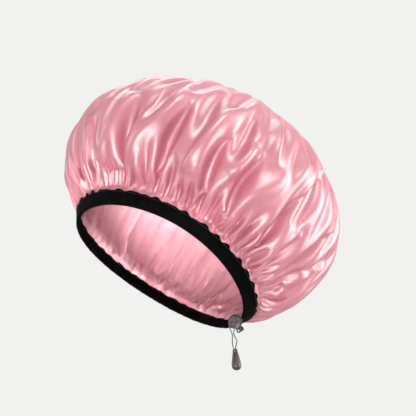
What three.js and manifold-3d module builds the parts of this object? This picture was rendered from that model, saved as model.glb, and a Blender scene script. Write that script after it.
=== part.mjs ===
// Bouffant shower cap: three nested fabric layers gathered into a folded ribbon band, with an
// elastic drawcord, a push-button cord lock and a teardrop pull hanging in the cord's free loop.
// Millimetres, +Z up. The origin is the centre of the head opening, and the cap is tilted as it
// is worn, high at the forehead (-X) and low at the nape (+X).

import * as THREE from 'three';
import { mergeVertices } from 'three/addons/utils/BufferGeometryUtils.js';
import Module from 'manifold-3d';

const wasm = await Module();
wasm.setup();

// Clearances and overruns
const SEAT_GAP = 0.3;
const CUT_OVERRUN = 1;

// How the cap is worn
const WORN_TILT_DEG = 29.3;

// Head opening and band
const OPENING_RADIUS = 87;
const BAND_WIDTH = 13;
const BAND_FLARE_DEG = 31;
const RIM_DIP = 7.2;
const RIM_DIP_TURN_DEG = 13;
const RIBBON_THICKNESS = 0.4;
const FOLD_CORNER_SHARE = 0.5;
const THREAD_DIAMETER = 0.4;
const THREAD_SIDES = 5;
const THREAD_INSET = 1.4;

// Fabric layers, from the outside in
const SATIN_THICKNESS = 0.5;
const FILM_THICKNESS = 0.3;
const LINING_THICKNESS = 0.5;
const LINING_LOOSENESS = 2;
const SEWN_DEPTH = 7.2;

// Puffed crown
const PUFF_RADIUS = 137;
const PUFF_LEVEL = 83;
const CROWN_RISE = 95.5;
const SKIRT_DROP = 76;
const CROWN_POWER = 1.66;
const SKIRT_POWER = 3;
const PUFF_FORWARD = 4;
const CROWN_RINGS = 5;
const SKIRT_RINGS = 3;
const COLUMNS = 60;

// Main folds and gathers of the fabric. The folds sweep round as they rise, and they lie closer
// together at some places round the cap than at others.
const FOLD_COUNT = 16;
const FOLD_DEPTH = 3.4;
const FOLD_SWEEP_TURNS = 1.45;
const FOLD_DRIFT_SHARE = 0.26;
const FOLD_DRIFT_COUNT = 4;
const GATHER_COUNT = 30;
const GATHER_DEPTH = 1.5;
const GATHER_REACH = 30;
const GATHER_RISE = 10;
const FOLD_START_SHARE = 0.32;

// Elastic drawcord in the band
const CORD_DIAMETER = 1;
const CORD_SIDES = 8;
const CORD_SEAT = 2.4;
const CORD_STRAIGHT_RUN = 3;
const SLOT_LIFT_SHARE = 0.75;
const SLOT_SPREAD_SHARE = 1.5;
const DRAWCORD_STEPS = 84;
const DRAWCORD_STATIONS = 40;

// Slot in the band's fold where the drawcord comes out
const SLOT_TURN_DEG = 13;
const SLOT_LENGTH = 6.4;
const SLOT_WIDTH = 1.7;
const SLOT_BEND = 7;

// Cord lock: a round body, its bore along Y and its plunger along Z
const LOCK_RADIUS = 6.4;
const LOCK_THICKNESS = 7.4;
const LOCK_EDGE_RADIUS = 1.6;
const LOCK_SIDES = 32;
const EDGE_STEPS = 4;
const BORE_STEPS = 8;
const LOCK_LEAN_DEG = 29.7;
const LOCK_ROLL_DEG = -31;
const LOCK_SIDEWAYS = -5.8;
const LOCK_AHEAD = -11.2;
const LOCK_BELOW = -7.4;
const BORE_WIDTH = 7.4;
const BORE_HEIGHT = 4.6;
const LEG_SPACING = 1.9;
const LEG_DROP = 0.75;

// Plunger and its spring
const PLUNGER_TRAVEL = 1.5;
const STEM_WIDTH = 5.6;
const STEM_THICKNESS = 2.8;
const STEM_TOP = 1.9;
const GATE_WIDTH = 4.2;
const GATE_HEIGHT = 3.2;
const HEAD_DIAMETER = 4.2;
const HEAD_LENGTH = 7.2;
const HEAD_HOLE_DIAMETER = 1.8;
const HEAD_HOLE_OFFSET = -1.7;
const SPRING_DIAMETER = 2.2;
const SPRING_WIRE = 0.35;
const SPRING_TURNS = 3;
const SPRING_POCKET_TOP = 5;
const SPRING_SIDES = 5;
const STEPS_IN_A_TURN = 12;
const HOLE_SIDES = 16;

// Teardrop pull
const PULL_LENGTH = 20.6;
const PULL_RADIUS = 4.3;
const PULL_NECK_RADIUS = 2.15;
const PULL_EYE_DIAMETER = 2.4;
const PULL_EYE_DROP = 2.2;
const PULL_EYE_THICKNESS = 2.6;
const PULL_EYE_FLAT = 4.8;
const PULL_LEAN_DEG = -5;
const PULL_SIDES = 20;
const PULL_RINGS = 18;

// The pull's outline from the bottom up. The bulb's points are shares of the widest radius and of
// the length up from the bottom, the neck's are shares of its radius and of the eye's drop.
const PULL_BULB_SHARES = [
  [0.5, 0.03],
  [0.87, 0.1],
  [1, 0.24],
  [0.93, 0.38],
  [0.75, 0.6],
];
const PULL_NECK_SHARES = [
  [1.1, -0.6],
  [0.98, 0.36],
  [0.6, 0.88],
];

const rad = THREE.MathUtils.degToRad;
const TILT = rad(WORN_TILT_DEG);
const FLARE = rad(BAND_FLARE_DEG);
const DIP_TURN = rad(RIM_DIP_TURN_DEG);
const SLOT_TURN = rad(SLOT_TURN_DEG);

// Sizes that follow from the ones above
const CORD_RADIUS = CORD_DIAMETER / 2;
const STACK_HALF = LINING_THICKNESS + SEAT_GAP + FILM_THICKNESS / 2;
const CHANNEL_HALF = STACK_HALF + SEAT_GAP;
const BAND_HALF = CHANNEL_HALF + RIBBON_THICKNESS;
const BAND_TOP = BAND_WIDTH * Math.cos(FLARE);
const CROWN_TOP = PUFF_LEVEL + CROWN_RISE;
const STACK_START = BAND_WIDTH - SEWN_DEPTH;

const MATERIALS = {
  outerSatin: finish(0xe08a9a, 0.32, 0),
  film: finish(0xd9dfe2, 0.4, 0),
  liningSatin: finish(0xd68c98, 0.38, 0),
  ribbon: finish(0x0b0a0a, 0.55, 0),
  cord: finish(0x8c8684, 0.6, 0),
  smokePlastic: finish(0x4b4244, 0.25, 0),
  thread: finish(0x141212, 0.7, 0),
  springSteel: finish(0xb9bcc0, 0.3, 1),
  gunmetal: finish(0x5b5856, 0.3, 1),
};

function finish(color, roughness, metalness) {
  return new THREE.MeshStandardMaterial({ color, roughness, metalness });
}

function piece(name, geometry, material) {
  const mesh = new THREE.Mesh(geometry, material);
  mesh.name = name;
  return mesh;
}

// Solids: joining and cutting closed shapes
function solidOf(geometry) {
  const bare = geometry.clone();
  bare.deleteAttribute('normal');
  bare.deleteAttribute('uv');
  const merged = mergeVertices(bare);
  const corners = merged.index.array;
  const kept = [];
  for (let i = 0; i < corners.length; i += 3) {
    const [a, b, c] = [corners[i], corners[i + 1], corners[i + 2]];
    if (a !== b && b !== c && c !== a) kept.push(a, b, c);
  }
  return new wasm.Manifold(
    new wasm.Mesh({
      numProp: 3,
      vertProperties: merged.attributes.position.array,
      triVerts: new Uint32Array(kept),
    }),
  );
}

function geometryOf(solid) {
  const mesh = solid.getMesh();
  const geometry = new THREE.BufferGeometry();
  geometry.setAttribute('position', new THREE.BufferAttribute(mesh.vertProperties, 3));
  geometry.setIndex(new THREE.BufferAttribute(mesh.triVerts, 1));
  geometry.computeVertexNormals();
  return geometry;
}

function cut(geometry, ...cutters) {
  let solid = solidOf(geometry);
  for (const cutter of cutters) solid = solid.subtract(solidOf(cutter));
  return geometryOf(solid);
}

function join(geometry, other) {
  return geometryOf(solidOf(geometry).add(solidOf(other)));
}

function boxAt(width, depth, height, x, y, z) {
  return new THREE.BoxGeometry(width, depth, height).translate(x, y, z);
}

function tube(points, radius, steps, sides) {
  const outline = new THREE.Shape(
    Array.from({ length: sides }, (_, i) => {
      const angle = (2 * Math.PI * i) / sides;
      return new THREE.Vector2(radius * Math.cos(angle), radius * Math.sin(angle));
    }),
  );
  const extrudePath = new THREE.CatmullRomCurve3(points, false, 'centripetal');
  return new THREE.ExtrudeGeometry(outline, { steps, extrudePath, bevelEnabled: false });
}

// Cap frame: +Z along the cap's axis from the head opening to the crown, angles from +X

// A place in the band's section: slant up from the free edge, out from the middle of the ribbon
function bandSection(slant, out) {
  return new THREE.Vector2(
    OPENING_RADIUS + slant * Math.sin(FLARE) + out * Math.cos(FLARE),
    slant * Math.cos(FLARE) - out * Math.sin(FLARE),
  );
}

function smooth(value, low, high) {
  return THREE.MathUtils.smoothstep(value, low, high);
}

// How far the rim dips towards the forehead and the nape, fading out up the crown
function rimDip(angle, height) {
  const fade = 1 - smooth(height, BAND_TOP, CROWN_TOP);
  return RIM_DIP * Math.cos(angle - DIP_TURN) ** 2 * fade;
}

// How far the fabric stands out at an angle and a height: broad swept folds and small gathers
function foldDepth(angle, height) {
  const rise = THREE.MathUtils.clamp((height - BAND_TOP) / (CROWN_TOP - BAND_TOP), 0, 1);
  const body = smooth(rise, 0, FOLD_START_SHARE) * (1 - rise ** 3);
  const drift = FOLD_DRIFT_SHARE * Math.sin(FOLD_DRIFT_COUNT * angle);
  const turns = FOLD_SWEEP_TURNS * rise + drift;
  const broad = FOLD_DEPTH * body * Math.sin(FOLD_COUNT * angle + 2 * Math.PI * turns);
  const near = smooth(height, BAND_TOP, BAND_TOP + GATHER_RISE);
  const fade = near * (1 - smooth(height, BAND_TOP, BAND_TOP + GATHER_REACH));
  return broad + GATHER_DEPTH * fade * Math.cos(GATHER_COUNT * angle);
}

// Bends a turned shape about the cap's axis into the worn shape: dip, swing forward and folds
function settle(geometry, folded) {
  const position = geometry.attributes.position;
  for (let i = 0; i < position.count; i += 1) {
    const [x, y, z] = [position.getX(i), position.getY(i), position.getZ(i)];
    const radius = Math.hypot(x, y);
    const angle = Math.atan2(y, x);
    const forward = PUFF_FORWARD * smooth(z, BAND_TOP, PUFF_LEVEL);
    const stands = folded ? foldDepth(angle, z) * smooth(radius, 0, PUFF_RADIUS / 2) : 0;
    const grown = radius + stands;
    position.setXYZ(
      i,
      grown * Math.cos(angle) - forward,
      grown * Math.sin(angle),
      z - rimDip(angle, z),
    );
  }
  return geometry;
}

function turnedAboutAxis(profile) {
  return new THREE.LatheGeometry(profile, COLUMNS).rotateX(Math.PI / 2);
}

// One surface of a fabric layer, from its sewn edge up to the pole: inset inwards from the puff
function layerProfile(out, inset) {
  const points = [bandSection(STACK_START, out), bandSection(BAND_WIDTH, out)];
  const neck = bandSection(BAND_WIDTH, 0).x;
  const startShare = (neck / PUFF_RADIUS) ** (SKIRT_POWER / 2);
  const startAngle = -Math.acos(startShare);
  for (let i = 1; i <= SKIRT_RINGS; i += 1) {
    const angle = startAngle * (1 - i / (SKIRT_RINGS + 1));
    points.push(puffPoint(angle, SKIRT_POWER, SKIRT_DROP, inset));
  }
  for (let i = 0; i <= CROWN_RINGS; i += 1) {
    const angle = (Math.PI / 2) * (i / CROWN_RINGS);
    points.push(puffPoint(angle, CROWN_POWER, CROWN_RISE, inset));
  }
  points[points.length - 1].x = 0;
  return points;
}

function puffPoint(angle, power, height, inset) {
  const across = Math.max(Math.cos(angle), 0) ** (2 / power);
  const along = Math.sign(angle) * Math.abs(Math.sin(angle)) ** (2 / power);
  return new THREE.Vector2(
    (PUFF_RADIUS - inset) * across,
    PUFF_LEVEL + (height - inset) * along,
  );
}

function fabricLayer(outFace, inFace, inset, thickness) {
  const outside = layerProfile(outFace, inset);
  const inside = layerProfile(inFace, inset + thickness).reverse();
  const shell = turnedAboutAxis([...inside, ...outside]);
  matchDiagonals(shell, inside.length, inside.length + outside.length);
  return settle(shell, true);
}

// Splits the inside's faces along the same diagonals as the outside's, so that a fold of the
// fabric is parallel on its two sides. Each face of a turned shape is two triangles in turn.
function matchDiagonals(shell, insideRings, rings) {
  const index = shell.index;
  for (let column = 0; column < COLUMNS; column += 1) {
    for (let ring = 0; ring < insideRings - 1; ring += 1) {
      const first = ring + column * rings;
      const next = first + rings;
      const corners = [first, next, next + 1, next + 1, first + 1, first];
      const face = 6 * (column * (rings - 1) + ring);
      corners.forEach((corner, i) => index.setX(face + i, corner));
    }
  }
}

function outerShell() {
  const inFace = FILM_THICKNESS / 2 + SEAT_GAP;
  return fabricLayer(inFace + SATIN_THICKNESS, inFace, 0, SATIN_THICKNESS);
}

function waterproofFilm() {
  const inset = SATIN_THICKNESS + SEAT_GAP;
  return fabricLayer(FILM_THICKNESS / 2, -FILM_THICKNESS / 2, inset, FILM_THICKNESS);
}

function innerLining() {
  const outFace = -FILM_THICKNESS / 2 - SEAT_GAP;
  const inset = SATIN_THICKNESS + SEAT_GAP + FILM_THICKNESS + LINING_LOOSENESS;
  return fabricLayer(outFace, outFace - LINING_THICKNESS, inset, LINING_THICKNESS);
}

// Ribbon folded over the free edge, with the drawcord's channel at the bottom of the fold
function bandCasing() {
  const corner = RIBBON_THICKNESS * FOLD_CORNER_SHARE;
  const section = [
    [0, -CHANNEL_HALF],
    [BAND_WIDTH, -CHANNEL_HALF],
    [BAND_WIDTH, -BAND_HALF],
    [-RIBBON_THICKNESS + corner, -BAND_HALF],
    [-RIBBON_THICKNESS, -BAND_HALF + corner],
    [-RIBBON_THICKNESS, BAND_HALF - corner],
    [-RIBBON_THICKNESS + corner, BAND_HALF],
    [BAND_WIDTH, BAND_HALF],
    [BAND_WIDTH, CHANNEL_HALF],
    [0, CHANNEL_HALF],
    [0, -CHANNEL_HALF],
  ].map(([slant, out]) => bandSection(slant, out));
  const ring = settle(turnedAboutAxis(section), false);
  return cut(ring, slotCutter());
}

// One thread of the seam that closes the ribbon over the fabric, outside (1) or inside (-1)
function seamThread(side) {
  const radius = THREAD_DIAMETER / 2;
  const slant = BAND_WIDTH - THREAD_INSET;
  const out = side * (BAND_HALF + SEAT_GAP + radius);
  const section = Array.from({ length: THREAD_SIDES + 1 }, (_, i) => {
    const angle = (-2 * Math.PI * (i % THREAD_SIDES)) / THREAD_SIDES;
    return bandSection(slant + radius * Math.cos(angle), out + radius * Math.sin(angle));
  });
  return settle(turnedAboutAxis(section), false);
}

// The slot in the bottom of the band's fold, where both ends of the drawcord come out
function slotCutter() {
  const height = RIBBON_THICKNESS + 2 * CUT_OVERRUN;
  const cutter = new THREE.BoxGeometry(SLOT_WIDTH, SLOT_LENGTH, height);
  cutter.rotateY(FLARE).translate(...rimPlaceUnturned(-RIBBON_THICKNESS / 2).toArray());
  return cutter.rotateZ(SLOT_TURN).translate(0, 0, -rimDip(SLOT_TURN, 0));
}

function rimPlaceUnturned(slant) {
  const section = bandSection(slant, 0);
  return new THREE.Vector3(section.x, 0, section.y);
}

// A place on the middle of the band, in the cap frame
function rimPlace(angle, slant) {
  const section = bandSection(slant, 0);
  return new THREE.Vector3(
    section.x * Math.cos(angle),
    section.x * Math.sin(angle),
    section.y - rimDip(angle, section.y),
  );
}

// World frame
const capTurn = new THREE.Matrix4().makeRotationY(TILT);
const lockTurn = new THREE.Matrix4()
  .makeRotationX(rad(LOCK_LEAN_DEG))
  .multiply(new THREE.Matrix4().makeRotationY(rad(LOCK_ROLL_DEG)));
const lockPlace = rimPlace(SLOT_TURN, 0)
  .applyMatrix4(capTurn)
  .add(new THREE.Vector3(LOCK_SIDEWAYS, LOCK_AHEAD, LOCK_BELOW));

function fromLock(x, y, z) {
  return new THREE.Vector3(x, y, z).applyMatrix4(lockTurn).add(lockPlace);
}

function beside(x, y, z) {
  return new THREE.Vector3(x, y, z).add(lockPlace);
}

// Drawcord: once round the band's channel, with both ends out through the slot into the lock
const LEG_X = LEG_SPACING / 2;
const LEG_Z = -LEG_DROP;
const BORE_MOUTH = LOCK_THICKNESS / 2;
const LEG_SPLIT = STEM_THICKNESS / 2 + 2 * SEAT_GAP;

function drawcordEnd(side) {
  const sideways = (side * LEG_SPACING) / 2 / OPENING_RADIUS;
  const bend = (side * SLOT_BEND) / OPENING_RADIUS;
  const world = (angle, slant) => rimPlace(angle, slant).applyMatrix4(capTurn);
  return [
    world(SLOT_TURN + bend, CORD_SEAT),
    world(SLOT_TURN + bend / 2, CORD_SEAT * SLOT_LIFT_SHARE),
    world(SLOT_TURN + sideways * SLOT_SPREAD_SHARE, 0),
    world(SLOT_TURN + sideways, -2 * CORD_DIAMETER),
    fromLock(-side * LEG_X, BORE_MOUTH + CORD_STRAIGHT_RUN, LEG_Z),
    fromLock(-side * LEG_X, BORE_MOUTH, LEG_Z),
    fromLock(-side * LEG_X, LEG_SPLIT + SEAT_GAP, LEG_Z),
  ];
}

function drawcord() {
  const points = drawcordEnd(1).reverse();
  const bend = (2 * SLOT_BEND) / OPENING_RADIUS;
  const round = 2 * Math.PI - 2 * bend;
  for (let i = 0; i <= DRAWCORD_STATIONS; i += 1) {
    const angle = SLOT_TURN + bend + (round * i) / DRAWCORD_STATIONS;
    points.push(rimPlace(angle, CORD_SEAT).applyMatrix4(capTurn));
  }
  points.push(...drawcordEnd(-1));
  return tube(points, CORD_RADIUS, DRAWCORD_STEPS, CORD_SIDES);
}

// Free cord: two legs over the lock's front, then a loop through the pull's eye.
// The points are places beside the lock's centre, along the world's axes.
const LEFT_LEG = [
  [-0.9, -3.2, -4.6],
  [-2.6, -3.9, -4.0],
  [-4.6, -3.7, -3.9],
  [-5.4, -2.9, -5.0],
  [-5.2, -2.0, -6.8],
  [-4.3, -1.3, -8.8],
  [-3.4, -1.0, -11.0],
  [-2.95, -0.9, -12.6],
  [-2.85, -0.85, -13.5],
];
const RIGHT_LEG = [
  [0.95, -3.9, -3.3],
  [0.7, -3.8, -4.7],
  [-0.2, -2.7, -6.9],
  [-1.0, -1.5, -9.2],
  [-1.35, -0.9, -11.4],
  [-1.3, -0.85, -12.8],
  [-1.15, -0.85, -13.5],
];
const LOOP = [
  [-2.8, -0.85, -13.8],
  [-2.7, -1.0, -16.5],
  [-2.7, -2.0, -20.0],
  [-2.6, -3.3, -23.8],
  [-2.25, -4.2, -26.3],
  [-1.8, -4.15, -27.8],
  [-1.15, -3.3, -29.1],
  [-0.55, -1.95, -29.7],
  [-0.3, -0.4, -29.75],
  [-0.25, 1.0, -29.2],
  [-0.15, 2.1, -28.0],
  [0.0, 2.35, -26.2],
  [0.5, 1.5, -23.6],
  [1.1, 0.4, -21.0],
  [1.15, -0.5, -18.6],
  [0.4, -0.8, -16.6],
  [-0.6, -0.85, -15.1],
  [-1.1, -0.85, -13.8],
];
const LEG_STEPS = 20;
const LOOP_STEPS = 40;
const EYE_PLACE = [-0.35, -0.85, -29.5];

function cordLeg(side, route) {
  const inside = [LEG_SPLIT, -LEG_SPLIT].map((y) => fromLock(side * LEG_X, y, LEG_Z));
  const points = [...inside, ...route.map((place) => beside(...place))];
  return tube(points, CORD_RADIUS, LEG_STEPS, CORD_SIDES);
}

function cordLoop() {
  return tube(LOOP.map((place) => beside(...place)), CORD_RADIUS, LOOP_STEPS, CORD_SIDES);
}

// Cord lock, in its own frame
function lockBlank() {
  const straight = LOCK_RADIUS - LOCK_EDGE_RADIUS;
  const level = LOCK_THICKNESS / 2 - LOCK_EDGE_RADIUS;
  const profile = [new THREE.Vector2(0, -LOCK_THICKNESS / 2)];
  for (const [start, height] of [[-Math.PI / 2, -level], [0, level]]) {
    const arc = new THREE.Path();
    arc.absarc(straight, height, LOCK_EDGE_RADIUS, start, start + Math.PI / 2);
    profile.push(...arc.getPoints(EDGE_STEPS));
  }
  profile.push(new THREE.Vector2(0, LOCK_THICKNESS / 2));
  return new THREE.LatheGeometry(profile, LOCK_SIDES);
}

function boreCutter() {
  const half = BORE_WIDTH / 2 - BORE_HEIGHT / 2;
  const outline = new THREE.Shape();
  outline.absarc(half, 0, BORE_HEIGHT / 2, -Math.PI / 2, Math.PI / 2, false);
  outline.absarc(-half, 0, BORE_HEIGHT / 2, Math.PI / 2, (3 * Math.PI) / 2, false);
  const depth = LOCK_THICKNESS + 2 * CUT_OVERRUN;
  const options = { depth, bevelEnabled: false, curveSegments: BORE_STEPS };
  const cutter = new THREE.ExtrudeGeometry(outline, options);
  return cutter.translate(0, 0, -depth / 2).rotateX(Math.PI / 2);
}

const HEAD_LEVEL = -(LOCK_RADIUS + HEAD_DIAMETER / 2);

function lockBody() {
  const pocketTop = -LOCK_RADIUS + PLUNGER_TRAVEL + SEAT_GAP;
  const pocketHeight = LOCK_RADIUS;
  const pocket = boxAt(
    HEAD_LENGTH + 2 * SEAT_GAP,
    HEAD_DIAMETER + 2 * SEAT_GAP,
    pocketHeight,
    0,
    0,
    pocketTop - pocketHeight / 2,
  );
  const slotTop = STEM_TOP + PLUNGER_TRAVEL + SEAT_GAP;
  const slotHeight = slotTop + LOCK_RADIUS;
  const slot = boxAt(
    STEM_WIDTH + 2 * SEAT_GAP,
    STEM_THICKNESS + 2 * SEAT_GAP,
    slotHeight,
    0,
    0,
    slotTop - slotHeight / 2,
  );
  const springHole = new THREE.CylinderGeometry(
    SPRING_DIAMETER / 2 + SEAT_GAP,
    SPRING_DIAMETER / 2 + SEAT_GAP,
    SPRING_POCKET_TOP,
    HOLE_SIDES,
  );
  springHole.rotateX(Math.PI / 2).translate(0, 0, SPRING_POCKET_TOP / 2);
  return cut(lockBlank(), boreCutter(), pocket, slot, springHole);
}

function plunger() {
  const stemHeight = STEM_TOP - HEAD_LEVEL;
  const stem = boxAt(STEM_WIDTH, STEM_THICKNESS, stemHeight, 0, 0, STEM_TOP - stemHeight / 2);
  const head = new THREE.CapsuleGeometry(
    HEAD_DIAMETER / 2,
    HEAD_LENGTH - HEAD_DIAMETER,
    EDGE_STEPS,
    HOLE_SIDES,
  );
  head.rotateZ(Math.PI / 2).translate(0, 0, HEAD_LEVEL);
  const gateLevel = -PLUNGER_TRAVEL;
  const gate = boxAt(GATE_WIDTH, STEM_THICKNESS + 2 * CUT_OVERRUN, GATE_HEIGHT, 0, 0, gateLevel);
  const hole = new THREE.CylinderGeometry(
    HEAD_HOLE_DIAMETER / 2,
    HEAD_HOLE_DIAMETER / 2,
    HEAD_DIAMETER + 2 * CUT_OVERRUN,
    HOLE_SIDES,
  ).translate(HEAD_HOLE_OFFSET, 0, HEAD_LEVEL);
  return cut(join(stem, head), gate, hole);
}

function lockSpring() {
  const low = STEM_TOP + SEAT_GAP + SPRING_WIRE / 2;
  const high = SPRING_POCKET_TOP - SEAT_GAP - SPRING_WIRE / 2;
  const coil = (SPRING_DIAMETER - SPRING_WIRE) / 2;
  const steps = STEPS_IN_A_TURN * SPRING_TURNS;
  const points = Array.from({ length: steps + 1 }, (_, i) => {
    const angle = (2 * Math.PI * SPRING_TURNS * i) / steps;
    const height = low + ((high - low) * i) / steps;
    return new THREE.Vector3(coil * Math.cos(angle), coil * Math.sin(angle), height);
  });
  return tube(points, SPRING_WIRE / 2, steps, SPRING_SIDES);
}

// Teardrop pull, hanging from its eye at the frame's origin
function pullOutline() {
  const top = PULL_EYE_DROP;
  const bottom = top - PULL_LENGTH;
  const bulb = PULL_BULB_SHARES.map(
    ([out, up]) => new THREE.Vector2(PULL_RADIUS * out, bottom + PULL_LENGTH * up),
  );
  const neck = PULL_NECK_SHARES.map(
    ([out, up]) => new THREE.Vector2(PULL_NECK_RADIUS * out, PULL_EYE_DROP * up),
  );
  const ends = [bottom, top].map((level) => new THREE.Vector2(0, level));
  const outline = new THREE.SplineCurve([ends[0], ...bulb, ...neck, ends[1]]);
  const points = outline.getPoints(PULL_RINGS);
  points[0].x = 0;
  points[points.length - 1].x = 0;
  return points;
}

function teardropPull() {
  const drop = new THREE.LatheGeometry(pullOutline(), PULL_SIDES).rotateX(Math.PI / 2);
  const flatPlace = (PULL_EYE_THICKNESS + PULL_RADIUS) / 2;
  const flatHeight = PULL_EYE_FLAT + CUT_OVERRUN;
  const flatLevel = PULL_EYE_DROP + CUT_OVERRUN - flatHeight / 2;
  const flats = [-1, 1].map((side) =>
    boxAt(2 * PULL_RADIUS, PULL_RADIUS, flatHeight, 0, side * flatPlace, flatLevel),
  );
  const eye = new THREE.CylinderGeometry(
    PULL_EYE_DIAMETER / 2,
    PULL_EYE_DIAMETER / 2,
    2 * PULL_RADIUS,
    HOLE_SIDES,
  );
  return cut(drop, ...flats, eye);
}

// Assembly
const cap = new THREE.Group();
cap.rotation.y = TILT;
cap.add(
  piece('outer_shell', outerShell(), MATERIALS.outerSatin),
  piece('waterproof_film', waterproofFilm(), MATERIALS.film),
  piece('inner_lining', innerLining(), MATERIALS.liningSatin),
  piece('band_casing', bandCasing(), MATERIALS.ribbon),
  piece('seam_thread_outer', seamThread(1), MATERIALS.thread),
  piece('seam_thread_inner', seamThread(-1), MATERIALS.thread),
);

const lockAxes = new THREE.Group();
lockAxes.position.copy(lockPlace);
lockAxes.rotation.x = rad(LOCK_LEAN_DEG);
const lock = new THREE.Group();
lock.rotation.y = rad(LOCK_ROLL_DEG);
lock.add(
  piece('lock_body', lockBody(), MATERIALS.smokePlastic),
  piece('lock_plunger', plunger(), MATERIALS.smokePlastic),
  piece('lock_spring', lockSpring(), MATERIALS.springSteel),
);
lockAxes.add(lock);

const pull = piece('teardrop_pull', teardropPull(), MATERIALS.gunmetal);
pull.position.copy(beside(...EYE_PLACE));
pull.rotation.y = rad(PULL_LEAN_DEG);

const group = new THREE.Group();
group.add(
  cap,
  lockAxes,
  piece('drawcord', drawcord(), MATERIALS.cord),
  piece('cord_leg_left', cordLeg(-1, LEFT_LEG), MATERIALS.cord),
  piece('cord_leg_right', cordLeg(1, RIGHT_LEG), MATERIALS.cord),
  piece('cord_loop', cordLoop(), MATERIALS.cord),
  pull,
);

export default group;
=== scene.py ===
"""Puffed satin shower cap: gathered layers, ribbon band, cord lock, cord loop and teardrop pull."""

import logging
import math
from dataclasses import dataclass
from enum import Enum

import bpy
import numpy as np
from mathutils import Matrix, Vector


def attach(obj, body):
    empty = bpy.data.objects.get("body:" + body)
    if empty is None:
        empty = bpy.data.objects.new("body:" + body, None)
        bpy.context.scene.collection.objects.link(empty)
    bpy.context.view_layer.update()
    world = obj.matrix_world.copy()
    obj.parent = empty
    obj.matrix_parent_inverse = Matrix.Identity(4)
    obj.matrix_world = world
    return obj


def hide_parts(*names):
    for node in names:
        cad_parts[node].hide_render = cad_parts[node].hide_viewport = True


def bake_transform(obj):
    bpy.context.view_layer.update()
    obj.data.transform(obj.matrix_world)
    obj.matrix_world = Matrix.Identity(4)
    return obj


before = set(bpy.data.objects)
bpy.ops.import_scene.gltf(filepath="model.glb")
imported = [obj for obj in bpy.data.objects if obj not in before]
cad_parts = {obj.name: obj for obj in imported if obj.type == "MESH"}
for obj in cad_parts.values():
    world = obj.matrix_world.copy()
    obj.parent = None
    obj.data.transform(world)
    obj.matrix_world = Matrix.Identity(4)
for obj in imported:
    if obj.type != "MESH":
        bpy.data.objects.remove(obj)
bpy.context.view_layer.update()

LOG = logging.getLogger("shower_cap")
TURN = 2 * math.pi
MM = 0.001
TINY = 1e-12

Reals = float | np.ndarray
Colour = tuple[float, float, float, float]
Place = tuple[float, float, float]


def smooth(value: Reals, low: float, high: float) -> Reals:
    """Ramp with flat ends, from 0 where a value is low to 1 where it is high."""
    share = np.clip((value - low) / (high - low), 0, 1)
    return share * share * (3 - 2 * share)


# Shape of the cap, in the cap's own axes and in the row frame


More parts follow.
